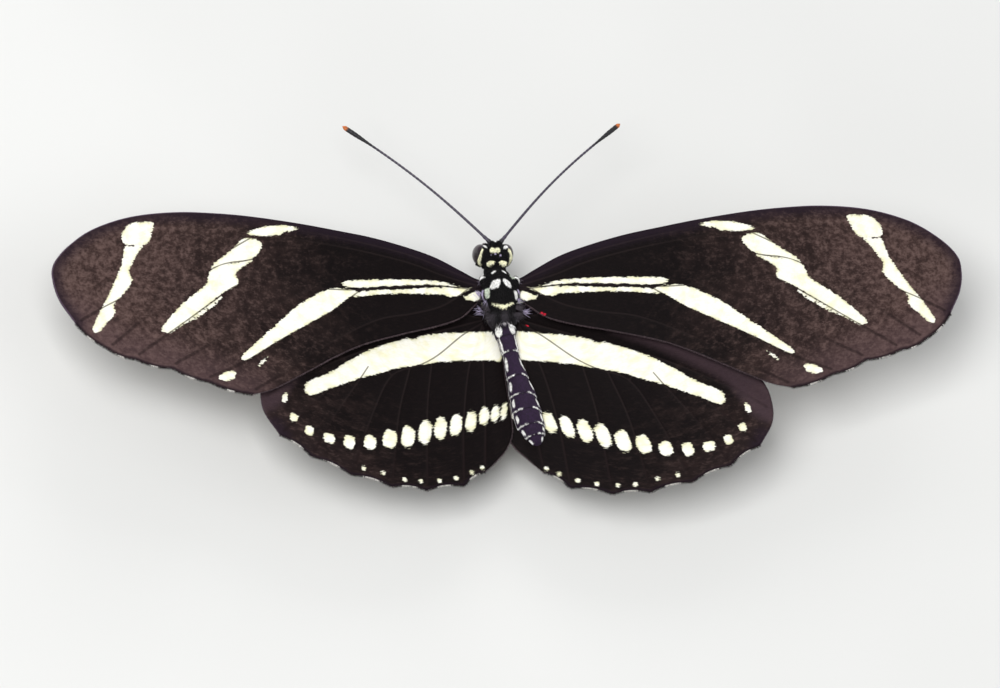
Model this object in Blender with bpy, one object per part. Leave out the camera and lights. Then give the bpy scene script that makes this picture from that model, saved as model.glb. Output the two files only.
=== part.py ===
"""Zebra longwing butterfly, life size, standing with both pairs of wings spread flat.

Every measure is in millimetres. X runs to the animal's right, Y towards its head and Z up, and zero is midway
between the wing hinges. world() stands the animal on the floor, centres it and turns millimetres into metres.
"""

import math

import bmesh
import bpy
import numpy as np
from mathutils import Vector
from mathutils.geometry import delaunay_2d_cdt

MM = 0.001
GAP = 0.3
HINGE_HEIGHT = 7.0
FLOOR = -HINGE_HEIGHT
SIDES = {"right": 1, "left": -1}

# Wings: the hinge lies this far out, and the blades rise from it to nearly level tips.
HINGE_OUT = 2.3
WING_RISE = 4.15
RISE_REACH = 22.0
WING_THICK = 0.5
ROOT_SWELL = 0.4
ROOT_SWELL_REACH = 1.2
VEIN_HEIGHT = 0.11
VEIN_HALF_WIDTH = 0.34
HIND_DROP = 1.0
HIND_HINGE = (2.0, -3.0)
HIND_SWING = {"right": 0.0, "left": 4.5}

FORE_LEADING = (
    (1.0, 0.5), (2.3, 1.0), (3.7, 1.75), (6.2, 2.95), (9.0, 3.8), (12.5, 4.6), (16.0, 5.15), (20.0, 5.75),
    (25.0, 6.35), (29.0, 6.62), (32.2, 6.65), (35.5, 6.35), (38.4, 5.7), (41.3, 4.5), (43.7, 2.7), (44.95, 1.1),
    (45.15, -0.4), (44.75, -2.4), (43.45, -4.8),
)
FORE_MARGIN = ((43.45, -4.8), (40.6, -7.4), (38.0, -8.45), (34.4, -9.4), (31.0, -10.75), (26.8, -12.0))
FORE_TRAILING = (
    (26.8, -12.0), (24.4, -11.3), (20.4, -9.25), (18.0, -7.95), (14.8, -6.5), (10.6, -5.2), (7.0, -4.2),
    (4.4, -3.2), (2.9, -2.0), (2.1, -1.2), (1.0, -0.9),
)
FORE_SCALLOP = 0.22
FORE_VEINS = (
    ((2.0, 0.6), (5.0, 1.7), (9.0, 3.05), (15.0, 4.25), (22.0, 5.25), (27.5, 6.1)),
    ((1.8, 0.15), (5.6, 1.1), (9.0, 2.2), (15.0, 3.35), (21.9, 4.2), (27.0, 4.45), (32.0, 4.3), (36.4, 3.45),
     (40.5, 2.2), (44.2, 0.7)),
    ((19.0, 3.85), (25.0, 4.95), (31.0, 6.0)),
    ((23.5, 4.3), (30.0, 5.15), (36.5, 5.7)),
    ((29.5, 4.4), (35.0, 4.9), (40.2, 4.5)),
    ((34.0, 4.0), (39.0, 3.4), (43.1, 2.6)),
    ((24.5, 4.35), (28.9, 1.95), (34.5, -0.5), (39.6, -2.7), (42.9, -4.5)),
    ((24.1, 2.1), (25.7, 1.75), (29.0, 0.95), (34.5, -2.7), (40.1, -7.0)),
    ((24.5, 4.35), (24.1, 2.1), (23.4, 0.3)),
    ((1.8, -0.25), (5.9, 0.0), (9.7, -0.3), (14.4, -0.9), (19.2, -0.85), (23.4, 0.3), (26.5, -0.6), (28.8, -2.0),
     (33.0, -4.9), (37.6, -8.0)),
    ((19.2, -0.85), (26.0, -4.5), (34.1, -8.95)),
    ((14.4, -0.9), (17.4, -3.1), (20.7, -5.0), (23.2, -6.35), (27.2, -8.7), (30.8, -10.3)),
    ((1.9, -0.6), (4.8, -1.5), (6.6, -2.3), (9.4, -3.1), (13.1, -3.95), (18.0, -6.4), (22.6, -9.3), (26.4, -11.5)),
)

HIND_LEADING = (
    (1.0, -2.7), (2.2, -2.3), (4.0, -1.6), (7.0, -1.35), (11.0, -1.9), (15.0, -3.4), (19.0, -5.6), (22.2, -8.0),
    (24.2, -10.7), (24.85, -12.6), (24.7, -15.0), (23.2, -17.4),
)
HIND_MARGIN = (
    (23.2, -17.4), (20.1, -19.3), (16.2, -20.75), (12.1, -21.5), (8.5, -21.4), (4.6, -20.4), (2.3, -18.6),
)
HIND_TRAILING = ((2.3, -18.6), (1.2, -17.2), (0.5, -15.6), (0.3, -13.0), (0.3, -9.0), (0.7, -5.6), (1.0, -3.9))
HIND_SCALLOP = -0.34
HIND_VEINS = (
    ((1.9, -2.7), (6.0, -2.4), (12.0, -3.5), (18.0, -6.3), (23.5, -10.2)),
    ((1.9, -2.95), (5.2, -4.2), (9.3, -5.9), (13.0, -8.0), (18.5, -12.6), (22.8, -17.0)),
    ((9.3, -5.9), (15.0, -8.1), (21.0, -11.3), (24.3, -13.5)),
    ((13.0, -8.0), (14.7, -10.6), (17.8, -15.2), (19.9, -18.8)),
    ((13.0, -8.0), (11.5, -10.0)),
    ((1.8, -3.2), (3.9, -4.7), (6.5, -7.1), (8.4, -8.4), (11.5, -10.0), (13.6, -14.0), (16.0, -20.2)),
    ((9.6, -9.0), (11.0, -14.0), (12.0, -20.9)),
    ((7.2, -7.6), (8.0, -13.0), (8.45, -20.8)),
    ((1.8, -3.45), (3.4, -8.0), (4.3, -14.0), (4.6, -19.8)),
    ((1.7, -3.7), (1.9, -8.0), (2.0, -13.0), (2.3, -17.9)),
)

# Trunk: each station is the middle line (X, Y, Z), then half width, height above it and depth below it.
THORAX = (
    (0, 1.75, -0.30, 0.90, 0.95, 1.15), (0, 1.45, -0.28, 1.25, 1.25, 1.60), (0, 0.60, -0.20, 1.56, 1.58, 2.10),
    (0, -0.60, -0.15, 1.68, 1.75, 2.30), (0, -1.80, -0.20, 1.60, 1.60, 2.20), (0, -2.75, -0.30, 1.38, 1.25, 1.90),
    (0, -3.45, -0.40, 1.12, 1.00, 1.45), (0, -3.85, -0.45, 0.80, 0.70, 1.00),
)
SCUTELLUM = ((0, -2.30, 0.80), (0.95, 0.62, 0.48))
TEGULA = ((1.50, 0.55, 0.62), (0.45, 0.75, 0.36))
PROTHORAX = (
    (0, 1.20, -0.30, 1.05, 1.05, 1.35), (0, 2.15, -0.30, 1.08, 1.02, 1.20), (0, 2.60, -0.33, 0.95, 0.85, 1.00),
    (0, 3.10, -0.35, 0.60, 0.60, 0.70),
)
COLLAR_LOBE = ((0.52, 2.28, 0.62), (0.52, 0.32, 0.36))
ABDOMEN_LINE = (
    (-0.06, -3.30, -0.45), (0.16, -4.20, -0.50), (0.70, -7.60, -0.80), (1.12, -9.90, -0.95), (1.35, -11.70, -1.05),
    (1.62, -13.60, -1.12), (2.00, -15.20, -1.18), (2.20, -15.90, -1.20),
)
ABDOMEN_GIRTH = ((0.0, 0.75), (0.09, 0.88), (0.22, 0.84), (0.33, 0.88), (0.42, 1.05), (0.55, 1.30), (0.65, 1.41),
                 (0.75, 1.46), (0.85, 1.36), (0.92, 1.05), (0.97, 0.72), (1.0, 0.38))
ABDOMEN_SEGMENTS = 8
SEGMENT_STEP = 0.07
ABDOMEN_DEEPER = 1.08

# Head and its parts.
HEAD = ((0.05, 3.62, -0.35), (1.12, 1.25, 1.50))
EYE = ((1.20, 3.62, -0.33), (0.78, 1.02, 1.18))
EYE_TURN = 8.0
PALP = ((0.42, 4.05, -1.10), (0.45, 4.62, -1.45), (0.47, 4.92, -1.25), (0.46, 4.92, -0.85), (0.43, 4.82, -0.58))
PALP_RADII = (0.30, 0.30, 0.29, 0.25, 0.14)
TONGUE_CENTRE = (4.95, -2.95)
TONGUE_RADII = (1.02, 0.34)
TONGUE_TURNS = 1.2
TONGUE_THICK = 0.25
ANTENNA_ROOT = (0.35, 3.95, 0.50)
ANTENNA_SOCKET = (0.60, 4.48, 0.95)
ANTENNA_TIP = (13.85, 16.30, 1.60)
ANTENNA_BOW = 0.55
ANTENNA_RADIUS = 0.25
CLUB_RADIUS = 0.33
CLUB_SHARE = 0.17

# Legs: root, trochanter, knee, ankle and toe. Four of them carry the animal and the front pair is folded.
TARSUS_LEVEL = FLOOR + 0.19
LEGS = {
    "foreleg": ((0.50, 1.00, -1.60), (0.66, 1.50, -2.70), (0.62, 2.35, -2.75), (0.72, 1.35, -3.45), (0.68, 0.55, -3.45)),
    "midleg": ((0.55, 0.00, -1.90), (1.00, -0.35, -3.40), (2.42, 1.30, -1.45), (4.70, 2.60, -6.30),
               (7.20, 3.20, TARSUS_LEVEL)),
    "hindleg": ((0.55, -2.20, -1.80), (1.00, -2.90, -3.20), (2.90, -5.20, -2.50), (4.60, -8.00, -6.30),
                (5.60, -11.20, TARSUS_LEVEL)),
}
LEG_RADII = (0.46, 0.34, 0.28, 0.25, 0.22)
FEMUR_SWELL = 1.3
KNEE_ROUND = 0.35

FINISHES = {
    "wing scales": ((0.035, 0.020, 0.018), 0.75),
    "body scales": ((0.020, 0.015, 0.022), 0.7),
    "abdomen scales": ((0.040, 0.024, 0.055), 0.65),
    "eye": ((0.030, 0.016, 0.022), 0.25),
    "antenna": ((0.075, 0.070, 0.130), 0.5),
    "leg": ((0.090, 0.080, 0.085), 0.6),
    "palp": ((0.060, 0.058, 0.065), 0.8),
    "tongue": ((0.050, 0.025, 0.012), 0.4),
}


def world(points):
    """Row positions in metres: the animal stands on the floor with its box centred over the origin."""
    front = ANTENNA_TIP[1] + CLUB_RADIUS * 0.6
    back = min(y for _, y in HIND_MARGIN)
    shift = np.array((0.0, -(front + back) / 2, HINGE_HEIGHT))
    return (np.asarray(points, float) + shift) * MM


def mirrored(point, side):
    return (point[0] * side, *point[1:])


def spline(points, step):
    """Points about STEP apart on a smooth curve through the given ones."""
    known = np.asarray(points, float)
    ends = np.vstack((2 * known[0] - known[1], known, 2 * known[-1] - known[-2]))
    curve = [known[0]]
    for a, b, c, d in zip(ends, ends[1:], ends[2:], ends[3:]):
        count = max(1, round(float(np.linalg.norm(c - b)) / step))
        for k in range(1, count + 1):
            t = k / count
            bend = (2 * a - 5 * b + 4 * c - d) * t * t + (3 * b - a - 3 * c + d) * t**3
            curve.append((2 * b + (c - a) * t + bend) / 2)
    return np.array(curve)


def mesh_object(name, points, faces):
    """A closed mesh object at the animal's place, its faces turned outwards."""
    mesh = bpy.data.meshes.new(name)
    mesh.from_pydata([tuple(p) for p in world(points)], [], faces)
    shape = bmesh.new()
    shape.from_mesh(mesh)
    bmesh.ops.triangulate(shape, faces=shape.faces)
    bmesh.ops.recalc_face_normals(shape, faces=shape.faces)
    if shape.calc_volume(signed=True) < 0:
        bmesh.ops.reverse_faces(shape, faces=shape.faces)
    shape.to_mesh(mesh)
    shape.free()
    made = bpy.data.objects.new(name, mesh)
    bpy.context.scene.collection.objects.link(made)
    return made


def loft(name, stations, sides, grow=0.0):
    """A body along its stations, each an oval that may be deeper below its middle than above."""
    line = np.array([s[:3] for s in stations], float)
    sizes = np.array([s[3:] for s in stations], float) + grow
    along = np.gradient(line, axis=0)
    along /= np.linalg.norm(along, axis=1)[:, None]
    line[0] -= along[0] * grow
    line[-1] += along[-1] * grow
    points = []
    for centre, forward, (wide, high, deep) in zip(line, along, sizes):
        across = np.cross(forward, (0.0, 0.0, 1.0))
        across /= np.linalg.norm(across)
        upward = np.cross(across, forward)
        for k in range(sides):
            turn = 2 * math.pi * k / sides
            lift = math.sin(turn) * (high if math.sin(turn) > 0 else deep)
            points.append(centre + across * math.cos(turn) * wide + upward * lift)
    rings = len(line)
    faces = []
    for ring in range(rings - 1):
        for k in range(sides):
            low, high = ring * sides, (ring + 1) * sides
            faces.append((low + k, low + (k + 1) % sides, high + (k + 1) % sides, high + k))
    points += [line[0], line[-1]]
    for k in range(sides):
        faces.append((k, (k + 1) % sides, rings * sides))
        faces.append(((rings - 1) * sides + k, (rings - 1) * sides + (k + 1) % sides, rings * sides + 1))
    return mesh_object(name, points, faces)


def ellipsoid(name, centre, radii, grow=0.0, fine=2, turn=0.0):
    """A ball drawn out to three radii, turned about the upright by TURN degrees."""
    shape = bmesh.new()
    bmesh.ops.create_icosphere(shape, subdivisions=fine, radius=1.0)
    mesh = bpy.data.meshes.new(name)
    shape.to_mesh(mesh)
    shape.free()
    unit = np.array([v.co for v in mesh.vertices])
    faces = [tuple(p.vertices) for p in mesh.polygons]
    bpy.data.meshes.remove(mesh)
    c, s = math.cos(math.radians(turn)), math.sin(math.radians(turn))
    points = unit * (np.array(radii) + grow) @ np.array(((c, s, 0), (-s, c, 0), (0, 0, 1))) + np.array(centre)
    return mesh_object(name, points, faces)


def tube(name, points, radii, resolution=2, grow=0.0):
    """A round rod of changing thickness along a line, with filled ends."""
    curve = bpy.data.curves.new(name, "CURVE")
    curve.dimensions = "3D"
    curve.bevel_depth = MM
    curve.bevel_resolution = resolution
    curve.use_fill_caps = True
    run = curve.splines.new("POLY")
    run.points.add(len(points) - 1)
    for knot, place, radius in zip(run.points, world(points), radii):
        knot.co = (*place, 1.0)
        knot.radius = radius + grow
    guide = bpy.data.objects.new(name, curve)
    bpy.context.scene.collection.objects.link(guide)
    bpy.context.view_layer.update()
    mesh = bpy.data.meshes.new_from_object(guide.evaluated_get(bpy.context.evaluated_depsgraph_get()))
    bpy.data.objects.remove(guide)
    shape = bmesh.new()
    shape.from_mesh(mesh)
    bmesh.ops.remove_doubles(shape, verts=shape.verts, dist=0.005 * MM)
    bmesh.ops.triangulate(shape, faces=shape.faces)
    bmesh.ops.recalc_face_normals(shape, faces=shape.faces)
    shape.to_mesh(mesh)
    shape.free()
    made = bpy.data.objects.new(name, mesh)
    bpy.context.scene.collection.objects.link(made)
    return made


def combine(target, others, operation):
    """Joins the other closed shapes to the target, or cuts them from it, and removes them."""
    group = bpy.data.collections.new("pieces")
    bpy.context.scene.collection.children.link(group)
    for other in others:
        group.objects.link(other)
    change = target.modifiers.new("join", "BOOLEAN")
    change.operation = operation
    change.operand_type = "COLLECTION"
    change.collection = group
    change.solver = "EXACT"
    bpy.context.view_layer.update()
    mesh = bpy.data.meshes.new_from_object(target.evaluated_get(bpy.context.evaluated_depsgraph_get()))
    target.modifiers.clear()
    target.data = mesh
    for other in others:
        bpy.data.objects.remove(other)
    bpy.data.collections.remove(group)
    keep_largest(target)
    return target


def keep_largest(target):
    """Drops loose scraps and sealed hollows, and splits what is left into triangles."""
    shape = bmesh.new()
    shape.from_mesh(target.data)
    bmesh.ops.dissolve_degenerate(shape, edges=shape.edges, dist=0.002 * MM)
    bmesh.ops.triangulate(shape, faces=shape.faces)
    shape.verts.ensure_lookup_table()
    seen = set()
    shells = []
    for start in shape.verts:
        if start in seen:
            continue
        shell = {start}
        edge = [start]
        while edge:
            for link in edge.pop().link_edges:
                for end in link.verts:
                    if end not in shell:
                        shell.add(end)
                        edge.append(end)
        seen |= shell
        shells.append(shell)
    largest = max(shells, key=span)
    loose = [vertex for shell in shells if shell is not largest for vertex in shell]
    bmesh.ops.delete(shape, geom=loose, context="VERTS")
    shape.to_mesh(target.data)
    shape.free()


def span(shell):
    """The volume of the box round a shell."""
    places = np.array([vertex.co for vertex in shell])
    return float(np.prod(places.max(axis=0) - places.min(axis=0)))


def wing_height(out):
    """Height of the middle of the forewing above the hinges, at a distance out from the midline."""
    return WING_RISE * np.tanh(np.maximum(np.abs(out) - HINGE_OUT, 0.0) / RISE_REACH)


def scalloped(ends, depth, step):
    """The outer margin: it dips inwards a little between one vein's end and the next."""
    margin = [np.array(ends[0])]
    for a, b in zip(np.array(ends), np.array(ends[1:])):
        run = b - a
        inward = np.array((run[1], -run[0])) / np.linalg.norm(run)
        count = max(2, round(float(np.linalg.norm(run)) / step))
        for k in range(1, count + 1):
            margin.append(a + run * k / count + inward * depth * math.sin(math.pi * k / count))
    return np.array(margin)


def wing_outline(leading, margin, trailing, depth, step):
    """The edge of a blade, clockwise from its root: leading edge, scalloped margin and trailing edge."""
    parts = (spline(leading, step)[:-1], scalloped(margin, -depth, step)[:-1], spline(trailing, step))
    return np.vstack(parts)


def inside(points, outline):
    """Which points lie inside a closed outline."""
    result = np.zeros(len(points), bool)
    for a, b in zip(outline, np.roll(outline, -1, axis=0)):
        crosses = (a[1] > points[:, 1]) != (b[1] > points[:, 1])
        reach = a[0] + (points[:, 1] - a[1]) * (b[0] - a[0]) / np.where(b[1] == a[1], 1e-9, b[1] - a[1])
        result ^= crosses & (points[:, 0] < reach)
    return result


def distance(points, line):
    """Distance from each point to a line of straight runs."""
    nearest = np.full(len(points), np.inf)
    for a, b in zip(line, line[1:]):
        run = b - a
        t = np.clip(((points - a) @ run) / max(float(run @ run), 1e-9), 0.0, 1.0)
        nearest = np.minimum(nearest, np.linalg.norm(points - a - t[:, None] * run, axis=1))
    return nearest


def thinned(candidates, fixed, room):
    """The candidates that keep ROOM from the fixed points and from each other."""
    kept = [np.array(p) for p in fixed]
    chosen = []
    for candidate in candidates:
        if min(np.linalg.norm(np.array(kept) - candidate, axis=1)) >= room:
            kept.append(candidate)
            chosen.append(candidate)
    return chosen


def membrane(outline, veins, step):
    """Corner points and triangles of a blade, with a line of corners along each vein and beside it."""
    ring = list(outline)
    lines = [spline(vein, step) for vein in veins]
    corners = list(ring)
    links = [(k, (k + 1) % len(ring)) for k in range(len(ring))]
    for line in lines:
        first = len(corners)
        corners += list(line)
        links += [(first + k, first + k + 1) for k in range(len(line) - 1)]
    closed_ring = np.vstack((outline, outline[:1]))
    beside = []
    for line in lines:
        run = np.gradient(line, axis=0)
        normal = np.stack((-run[:, 1], run[:, 0]), axis=1) / np.linalg.norm(run, axis=1)[:, None]
        middle = (line[1:] + line[:-1]) / 2
        across = (normal[1:] + normal[:-1]) / 2
        beside += list(middle + across * VEIN_HALF_WIDTH) + list(middle - across * VEIN_HALF_WIDTH)
    beside = np.array(beside)
    clear = np.minimum.reduce([distance(beside, line) for line in lines]) > VEIN_HALF_WIDTH * 0.8
    clear &= inside(beside, outline) & (distance(beside, closed_ring) > VEIN_HALF_WIDTH)
    corners += thinned(beside[clear], corners, VEIN_HALF_WIDTH * 0.75)
    low, high = outline.min(axis=0), outline.max(axis=0)
    open_step = step * 2.2
    grid = np.array([(x, y) for x in np.arange(low[0], high[0], open_step) for y in np.arange(low[1], high[1], open_step)])
    grid = grid[inside(grid, outline) & (distance(grid, closed_ring) > step * 0.8)]
    corners += thinned(grid, corners, step * 0.8)
    found = delaunay_2d_cdt([Vector(p) for p in corners], links, [], 0, 1e-4)
    points = np.array([tuple(p) for p in found[0]])
    triangles = np.array(found[2])
    triangles = triangles[inside(points[triangles].mean(axis=1), outline)]
    raised = np.minimum.reduce([distance(points, line) for line in lines])
    return points, triangles, VEIN_HEIGHT * np.clip(1 - raised / (VEIN_HALF_WIDTH * 0.9), 0.0, 1.0)


def wing(name, outline, veins, side, drop, hinge, swing=0.0, step=1.5):
    """One blade: the membrane's two faces are the same triangles a little apart, joined round the edge."""
    points, triangles, ridge = membrane(outline, veins, step)
    c, s = math.cos(math.radians(swing)), math.sin(math.radians(swing))
    turned = (points - hinge) @ np.array(((c, s), (-s, c))) + hinge
    root = np.linalg.norm(turned - hinge, axis=1)
    half = WING_THICK / 2 + ridge + ROOT_SWELL / 2 * np.exp(-((root / ROOT_SWELL_REACH) ** 2))
    middle = wing_height(turned[:, 0]) - drop
    flat = turned * (side, 1)
    above = np.column_stack((flat, middle + half))
    below = np.column_stack((flat, middle - half))
    count = len(points)
    faces = [tuple(t) for t in triangles] + [tuple(reversed(t + count)) for t in triangles]
    edges = {}
    for t in triangles:
        for a, b in ((t[0], t[1]), (t[1], t[2]), (t[2], t[0])):
            edges[(a, b)] = True
    for a, b in edges:
        if (b, a) not in edges:
            faces += [(b, a, a + count), (b, a + count, b + count)]
    used = sorted({int(k) for face in faces for k in face})
    renumbered = {old: new for new, old in enumerate(used)}
    both = np.vstack((above, below))[used]
    return mesh_object(name, both, [tuple(renumbered[int(k)] for k in face) for face in faces])


def thorax(name, grow=0.0):
    """Middle and hind thorax with the scutellum behind and a tegula over each forewing's hinge."""
    lumps = [ellipsoid("lump", *SCUTELLUM, grow=grow)]
    for side in SIDES.values():
        lumps.append(ellipsoid("lump", mirrored(TEGULA[0], side), TEGULA[1], grow=grow))
    return combine(loft(name, THORAX, 24, grow), lumps, "UNION")


def prothorax(name, grow=0.0):
    """The neck with its two collar lobes."""
    lobes = [ellipsoid("lump", mirrored(COLLAR_LOBE[0], side), COLLAR_LOBE[1], grow=grow) for side in SIDES.values()]
    return combine(loft(name, PROTHORAX, 20, grow), lobes, "UNION")


def head(name, grow=0.0):
    return ellipsoid(name, *HEAD, grow=grow, fine=3)


def eye(name, side, grow=0.0):
    return ellipsoid(name, mirrored(EYE[0], side), EYE[1], grow=grow, fine=3, turn=-EYE_TURN * side)


def abdomen(name, grow=0.0):
    """A tapering tail of ringed segments, each standing a little proud of the next."""
    line = spline(ABDOMEN_LINE, 0.2)
    travelled = np.concatenate(([0.0], np.cumsum(np.linalg.norm(np.diff(line, axis=0), axis=1))))
    travelled /= travelled[-1]
    shares, girths = np.array(ABDOMEN_GIRTH).T
    stations = []
    for segment in range(ABDOMEN_SEGMENTS):
        start = segment / ABDOMEN_SEGMENTS
        for part, proud in ((0.06, -SEGMENT_STEP / 2), (0.5, 0.0), (0.97, SEGMENT_STEP / 2)):
            share = start + part / ABDOMEN_SEGMENTS
            centre = [np.interp(share, travelled, line[:, k]) for k in range(3)]
            girth = float(np.interp(share, shares, girths)) + proud
            stations.append((*centre, girth, girth * ABDOMEN_DEEPER, girth * ABDOMEN_DEEPER))
    return loft(name, stations, 20, grow)


def antenna(name, side):
    """A long, slightly bowed shaft that thickens to a club at its end."""
    root, tip = np.array(ANTENNA_SOCKET), np.array(ANTENNA_TIP)
    across = np.cross(tip - root, (0.0, 0.0, 1.0))
    across /= np.linalg.norm(across)
    points, radii = [mirrored(ANTENNA_ROOT, side)], [ANTENNA_RADIUS]
    for share in (*np.linspace(0.0, 1 - CLUB_SHARE, 8), 0.87, 0.91, 0.95, 0.985, 1.0):
        points.append(mirrored(root + (tip - root) * share - across * ANTENNA_BOW * math.sin(math.pi * share), side))
        club = math.sin(math.pi / 2 * min(1.0, max(0.0, (share - 1 + CLUB_SHARE) / (CLUB_SHARE * 0.6))))
        radii.append(ANTENNA_RADIUS + (CLUB_RADIUS - ANTENNA_RADIUS) * club)
    radii[-2] *= 0.8
    radii[-1] *= 0.45
    return tube(name, points, radii)


def palp(name, side, grow=0.0):
    return tube(name, [mirrored(p, side) for p in PALP], PALP_RADII, 3, grow)


def tongue(name):
    """The proboscis, rolled up under the head like a watch spring."""
    points = [(0.0, 4.05, -1.30), (0.0, 4.02, -2.10)]
    steps = 26
    for k in range(steps + 1):
        turn = math.pi + 2 * math.pi * TONGUE_TURNS * k / steps
        radius = TONGUE_RADII[0] + (TONGUE_RADII[1] - TONGUE_RADII[0]) * k / steps
        points.append((0.0, TONGUE_CENTRE[0] + radius * math.cos(turn), TONGUE_CENTRE[1] + radius * math.sin(turn)))
    radii = np.linspace(TONGUE_THICK, TONGUE_THICK * 0.7, len(points))
    return tube(name, points, radii)


def rounded(corners, radii):
    """A leg's line with each joint turned over three points, and its femur swollen midway."""
    line, thick = [np.array(corners[0])], [radii[0]]
    for k in range(1, len(corners) - 1):
        joint = np.array(corners[k])
        before = np.array(corners[k - 1]) - joint
        after = np.array(corners[k + 1]) - joint
        enter = joint + before / np.linalg.norm(before) * KNEE_ROUND
        leave = joint + after / np.linalg.norm(after) * KNEE_ROUND
        line += [enter, (enter + 2 * joint + leave) / 4, leave]
        thick += [radii[k]] * 3
        if k == 1:
            line.append((joint + np.array(corners[2])) / 2)
            thick.append(radii[1] * FEMUR_SWELL)
    line.append(np.array(corners[-1]))
    thick.append(radii[-1])
    return line, thick


def leg(name, kind, side):
    """Coxa, femur, tibia and tarsus in one piece, flattened where the tarsus lies on the floor."""
    line, thick = rounded(LEGS[kind], LEG_RADII)
    made = tube(name, [mirrored(p, side) for p in line], thick)
    for vertex in made.data.vertices:
        vertex.co.z = max(vertex.co.z, 0.0)
    return made


def finished(made, finish, group):
    """Gives a piece its finish, smooth shading and its place in the animal's collection."""
    colour, rough = FINISHES[finish]
    material = bpy.data.materials.get(finish)
    if material is None:
        material = bpy.data.materials.new(finish)
        material.use_nodes = True
        shader = material.node_tree.nodes["Principled BSDF"]
        shader.inputs["Base Color"].default_value = (*colour, 1.0)
        shader.inputs["Roughness"].default_value = rough
        shader.inputs["Metallic"].default_value = 0.0
    made.data.materials.clear()
    made.data.materials.append(material)
    made.data.shade_smooth()
    made.data.set_sharp_from_angle(angle=math.radians(40))
    bpy.context.scene.collection.objects.unlink(made)
    group.objects.link(made)


def build_trunk(group):
    finished(thorax("thorax"), "body scales", group)
    cutters = [thorax("cutter", GAP)] + [eye("cutter", side, GAP) for side in SIDES.values()]
    finished(combine(prothorax("prothorax"), cutters, "DIFFERENCE"), "body scales", group)
    finished(combine(abdomen("abdomen"), [thorax("cutter", GAP)], "DIFFERENCE"), "abdomen scales", group)


def build_head(group):
    cutters = [prothorax("cutter", GAP)] + [eye("cutter", side, GAP) for side in SIDES.values()]
    finished(combine(head("head"), cutters, "DIFFERENCE"), "body scales", group)
    for word, side in SIDES.items():
        finished(eye("eye_" + word, side), "eye", group)
        finished(combine(palp("palp_" + word, side), [head("cutter", GAP)], "DIFFERENCE"), "palp", group)
        finished(combine(antenna("antenna_" + word, side), [head("cutter", GAP)], "DIFFERENCE"), "antenna", group)
    finished(combine(tongue("proboscis"), [head("cutter", GAP)], "DIFFERENCE"), "tongue", group)


def build_wings(group):
    fore = wing_outline(FORE_LEADING, FORE_MARGIN, FORE_TRAILING, FORE_SCALLOP, 1.5)
    hind = wing_outline(HIND_LEADING, HIND_MARGIN, HIND_TRAILING, HIND_SCALLOP, 1.3)
    for word, side in SIDES.items():
        blade = wing("forewing_" + word, fore, FORE_VEINS, side, 0.0, np.array((HINGE_OUT - 0.5, 0.0)), step=1.8)
        finished(combine(blade, [thorax("cutter", GAP)], "DIFFERENCE"), "wing scales", group)
        blade = wing("hindwing_" + word, hind, HIND_VEINS, side, HIND_DROP, np.array(HIND_HINGE), HIND_SWING[word], 1.6)
        cutters = [thorax("cutter", GAP), abdomen("cutter", GAP)]
        finished(combine(blade, cutters, "DIFFERENCE"), "wing scales", group)


def build_legs(group):
    for kind in LEGS:
        for word, side in SIDES.items():
            cutters = [thorax("cutter", GAP), prothorax("cutter", GAP)]
            finished(combine(leg(kind + "_" + word, kind, side), cutters, "DIFFERENCE"), "leg", group)


def main():
    for old in list(bpy.data.objects):
        bpy.data.objects.remove(old)
    group = bpy.data.collections.new("zebra longwing")
    bpy.context.scene.collection.children.link(group)
    build_trunk(group)
    build_head(group)
    build_wings(group)
    build_legs(group)


main()
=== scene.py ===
"""Looks of a life-size zebra longwing butterfly: scaled wings, one skin over the trunk, coat, eyes, feelers
and legs.

Every measure is in millimetres in the animal's own frame: X to its right, Y towards its head, Z up, and
zero midway between the wing hinges. place() turns such a point into the frame's metres. The body and wing
sizes are the solids' own or close to them, so each piece lies where its node lies. What differs on purpose:
membrane, antennae, proboscis and palps are finer, the wing edges near the body and the front of the abdomen
fit the skin, and the hind margin dips a little less.
"""

import math

import bmesh
import bpy
import numpy as np
from mathutils import Matrix, Vector
from mathutils.geometry import delaunay_2d_cdt


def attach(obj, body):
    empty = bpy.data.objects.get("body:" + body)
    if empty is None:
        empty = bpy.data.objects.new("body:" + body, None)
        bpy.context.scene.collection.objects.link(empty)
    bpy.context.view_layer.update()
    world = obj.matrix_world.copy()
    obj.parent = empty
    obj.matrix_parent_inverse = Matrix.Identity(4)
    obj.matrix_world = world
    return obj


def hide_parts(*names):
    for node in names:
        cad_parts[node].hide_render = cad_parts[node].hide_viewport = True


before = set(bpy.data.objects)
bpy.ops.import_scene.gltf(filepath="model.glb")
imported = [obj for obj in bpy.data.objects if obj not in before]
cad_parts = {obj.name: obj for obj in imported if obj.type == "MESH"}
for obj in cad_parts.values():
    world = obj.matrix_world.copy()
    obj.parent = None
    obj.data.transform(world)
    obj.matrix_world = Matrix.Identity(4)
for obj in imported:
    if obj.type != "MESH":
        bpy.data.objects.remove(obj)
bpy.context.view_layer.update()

MM = 0.001
HINGE_HEIGHT = 7.0
FLOOR = -HINGE_HEIGHT
SIDES = {"right": 1, "left": -1}
draw = np.random.default_rng(12)

# Wing shape, close to the solids', with a membrane of real thinness.
HINGE_OUT = 2.3
WING_RISE = 4.15
RISE_REACH = 22.0
MEMBRANE = 0.10
VEIN_RIDGE = 0.075
VEIN_WIDTH = 0.13
FOLD_DEPTH = 0.10
FOLD_REACH = 1.1
HIND_DROP = 1.0
HIND_HINGE = (2.0, -3.0)
HIND_SWING = {"right": 0.0, "left": 4.5}
WEAVE = 0.23
# Drawn size of the wing scales, along and across the wing, and of the streaks in their tone.
SCALE_SIZE = (0.24, 0.11)
STREAK_SIZE = (0.55, 0.16)

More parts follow.
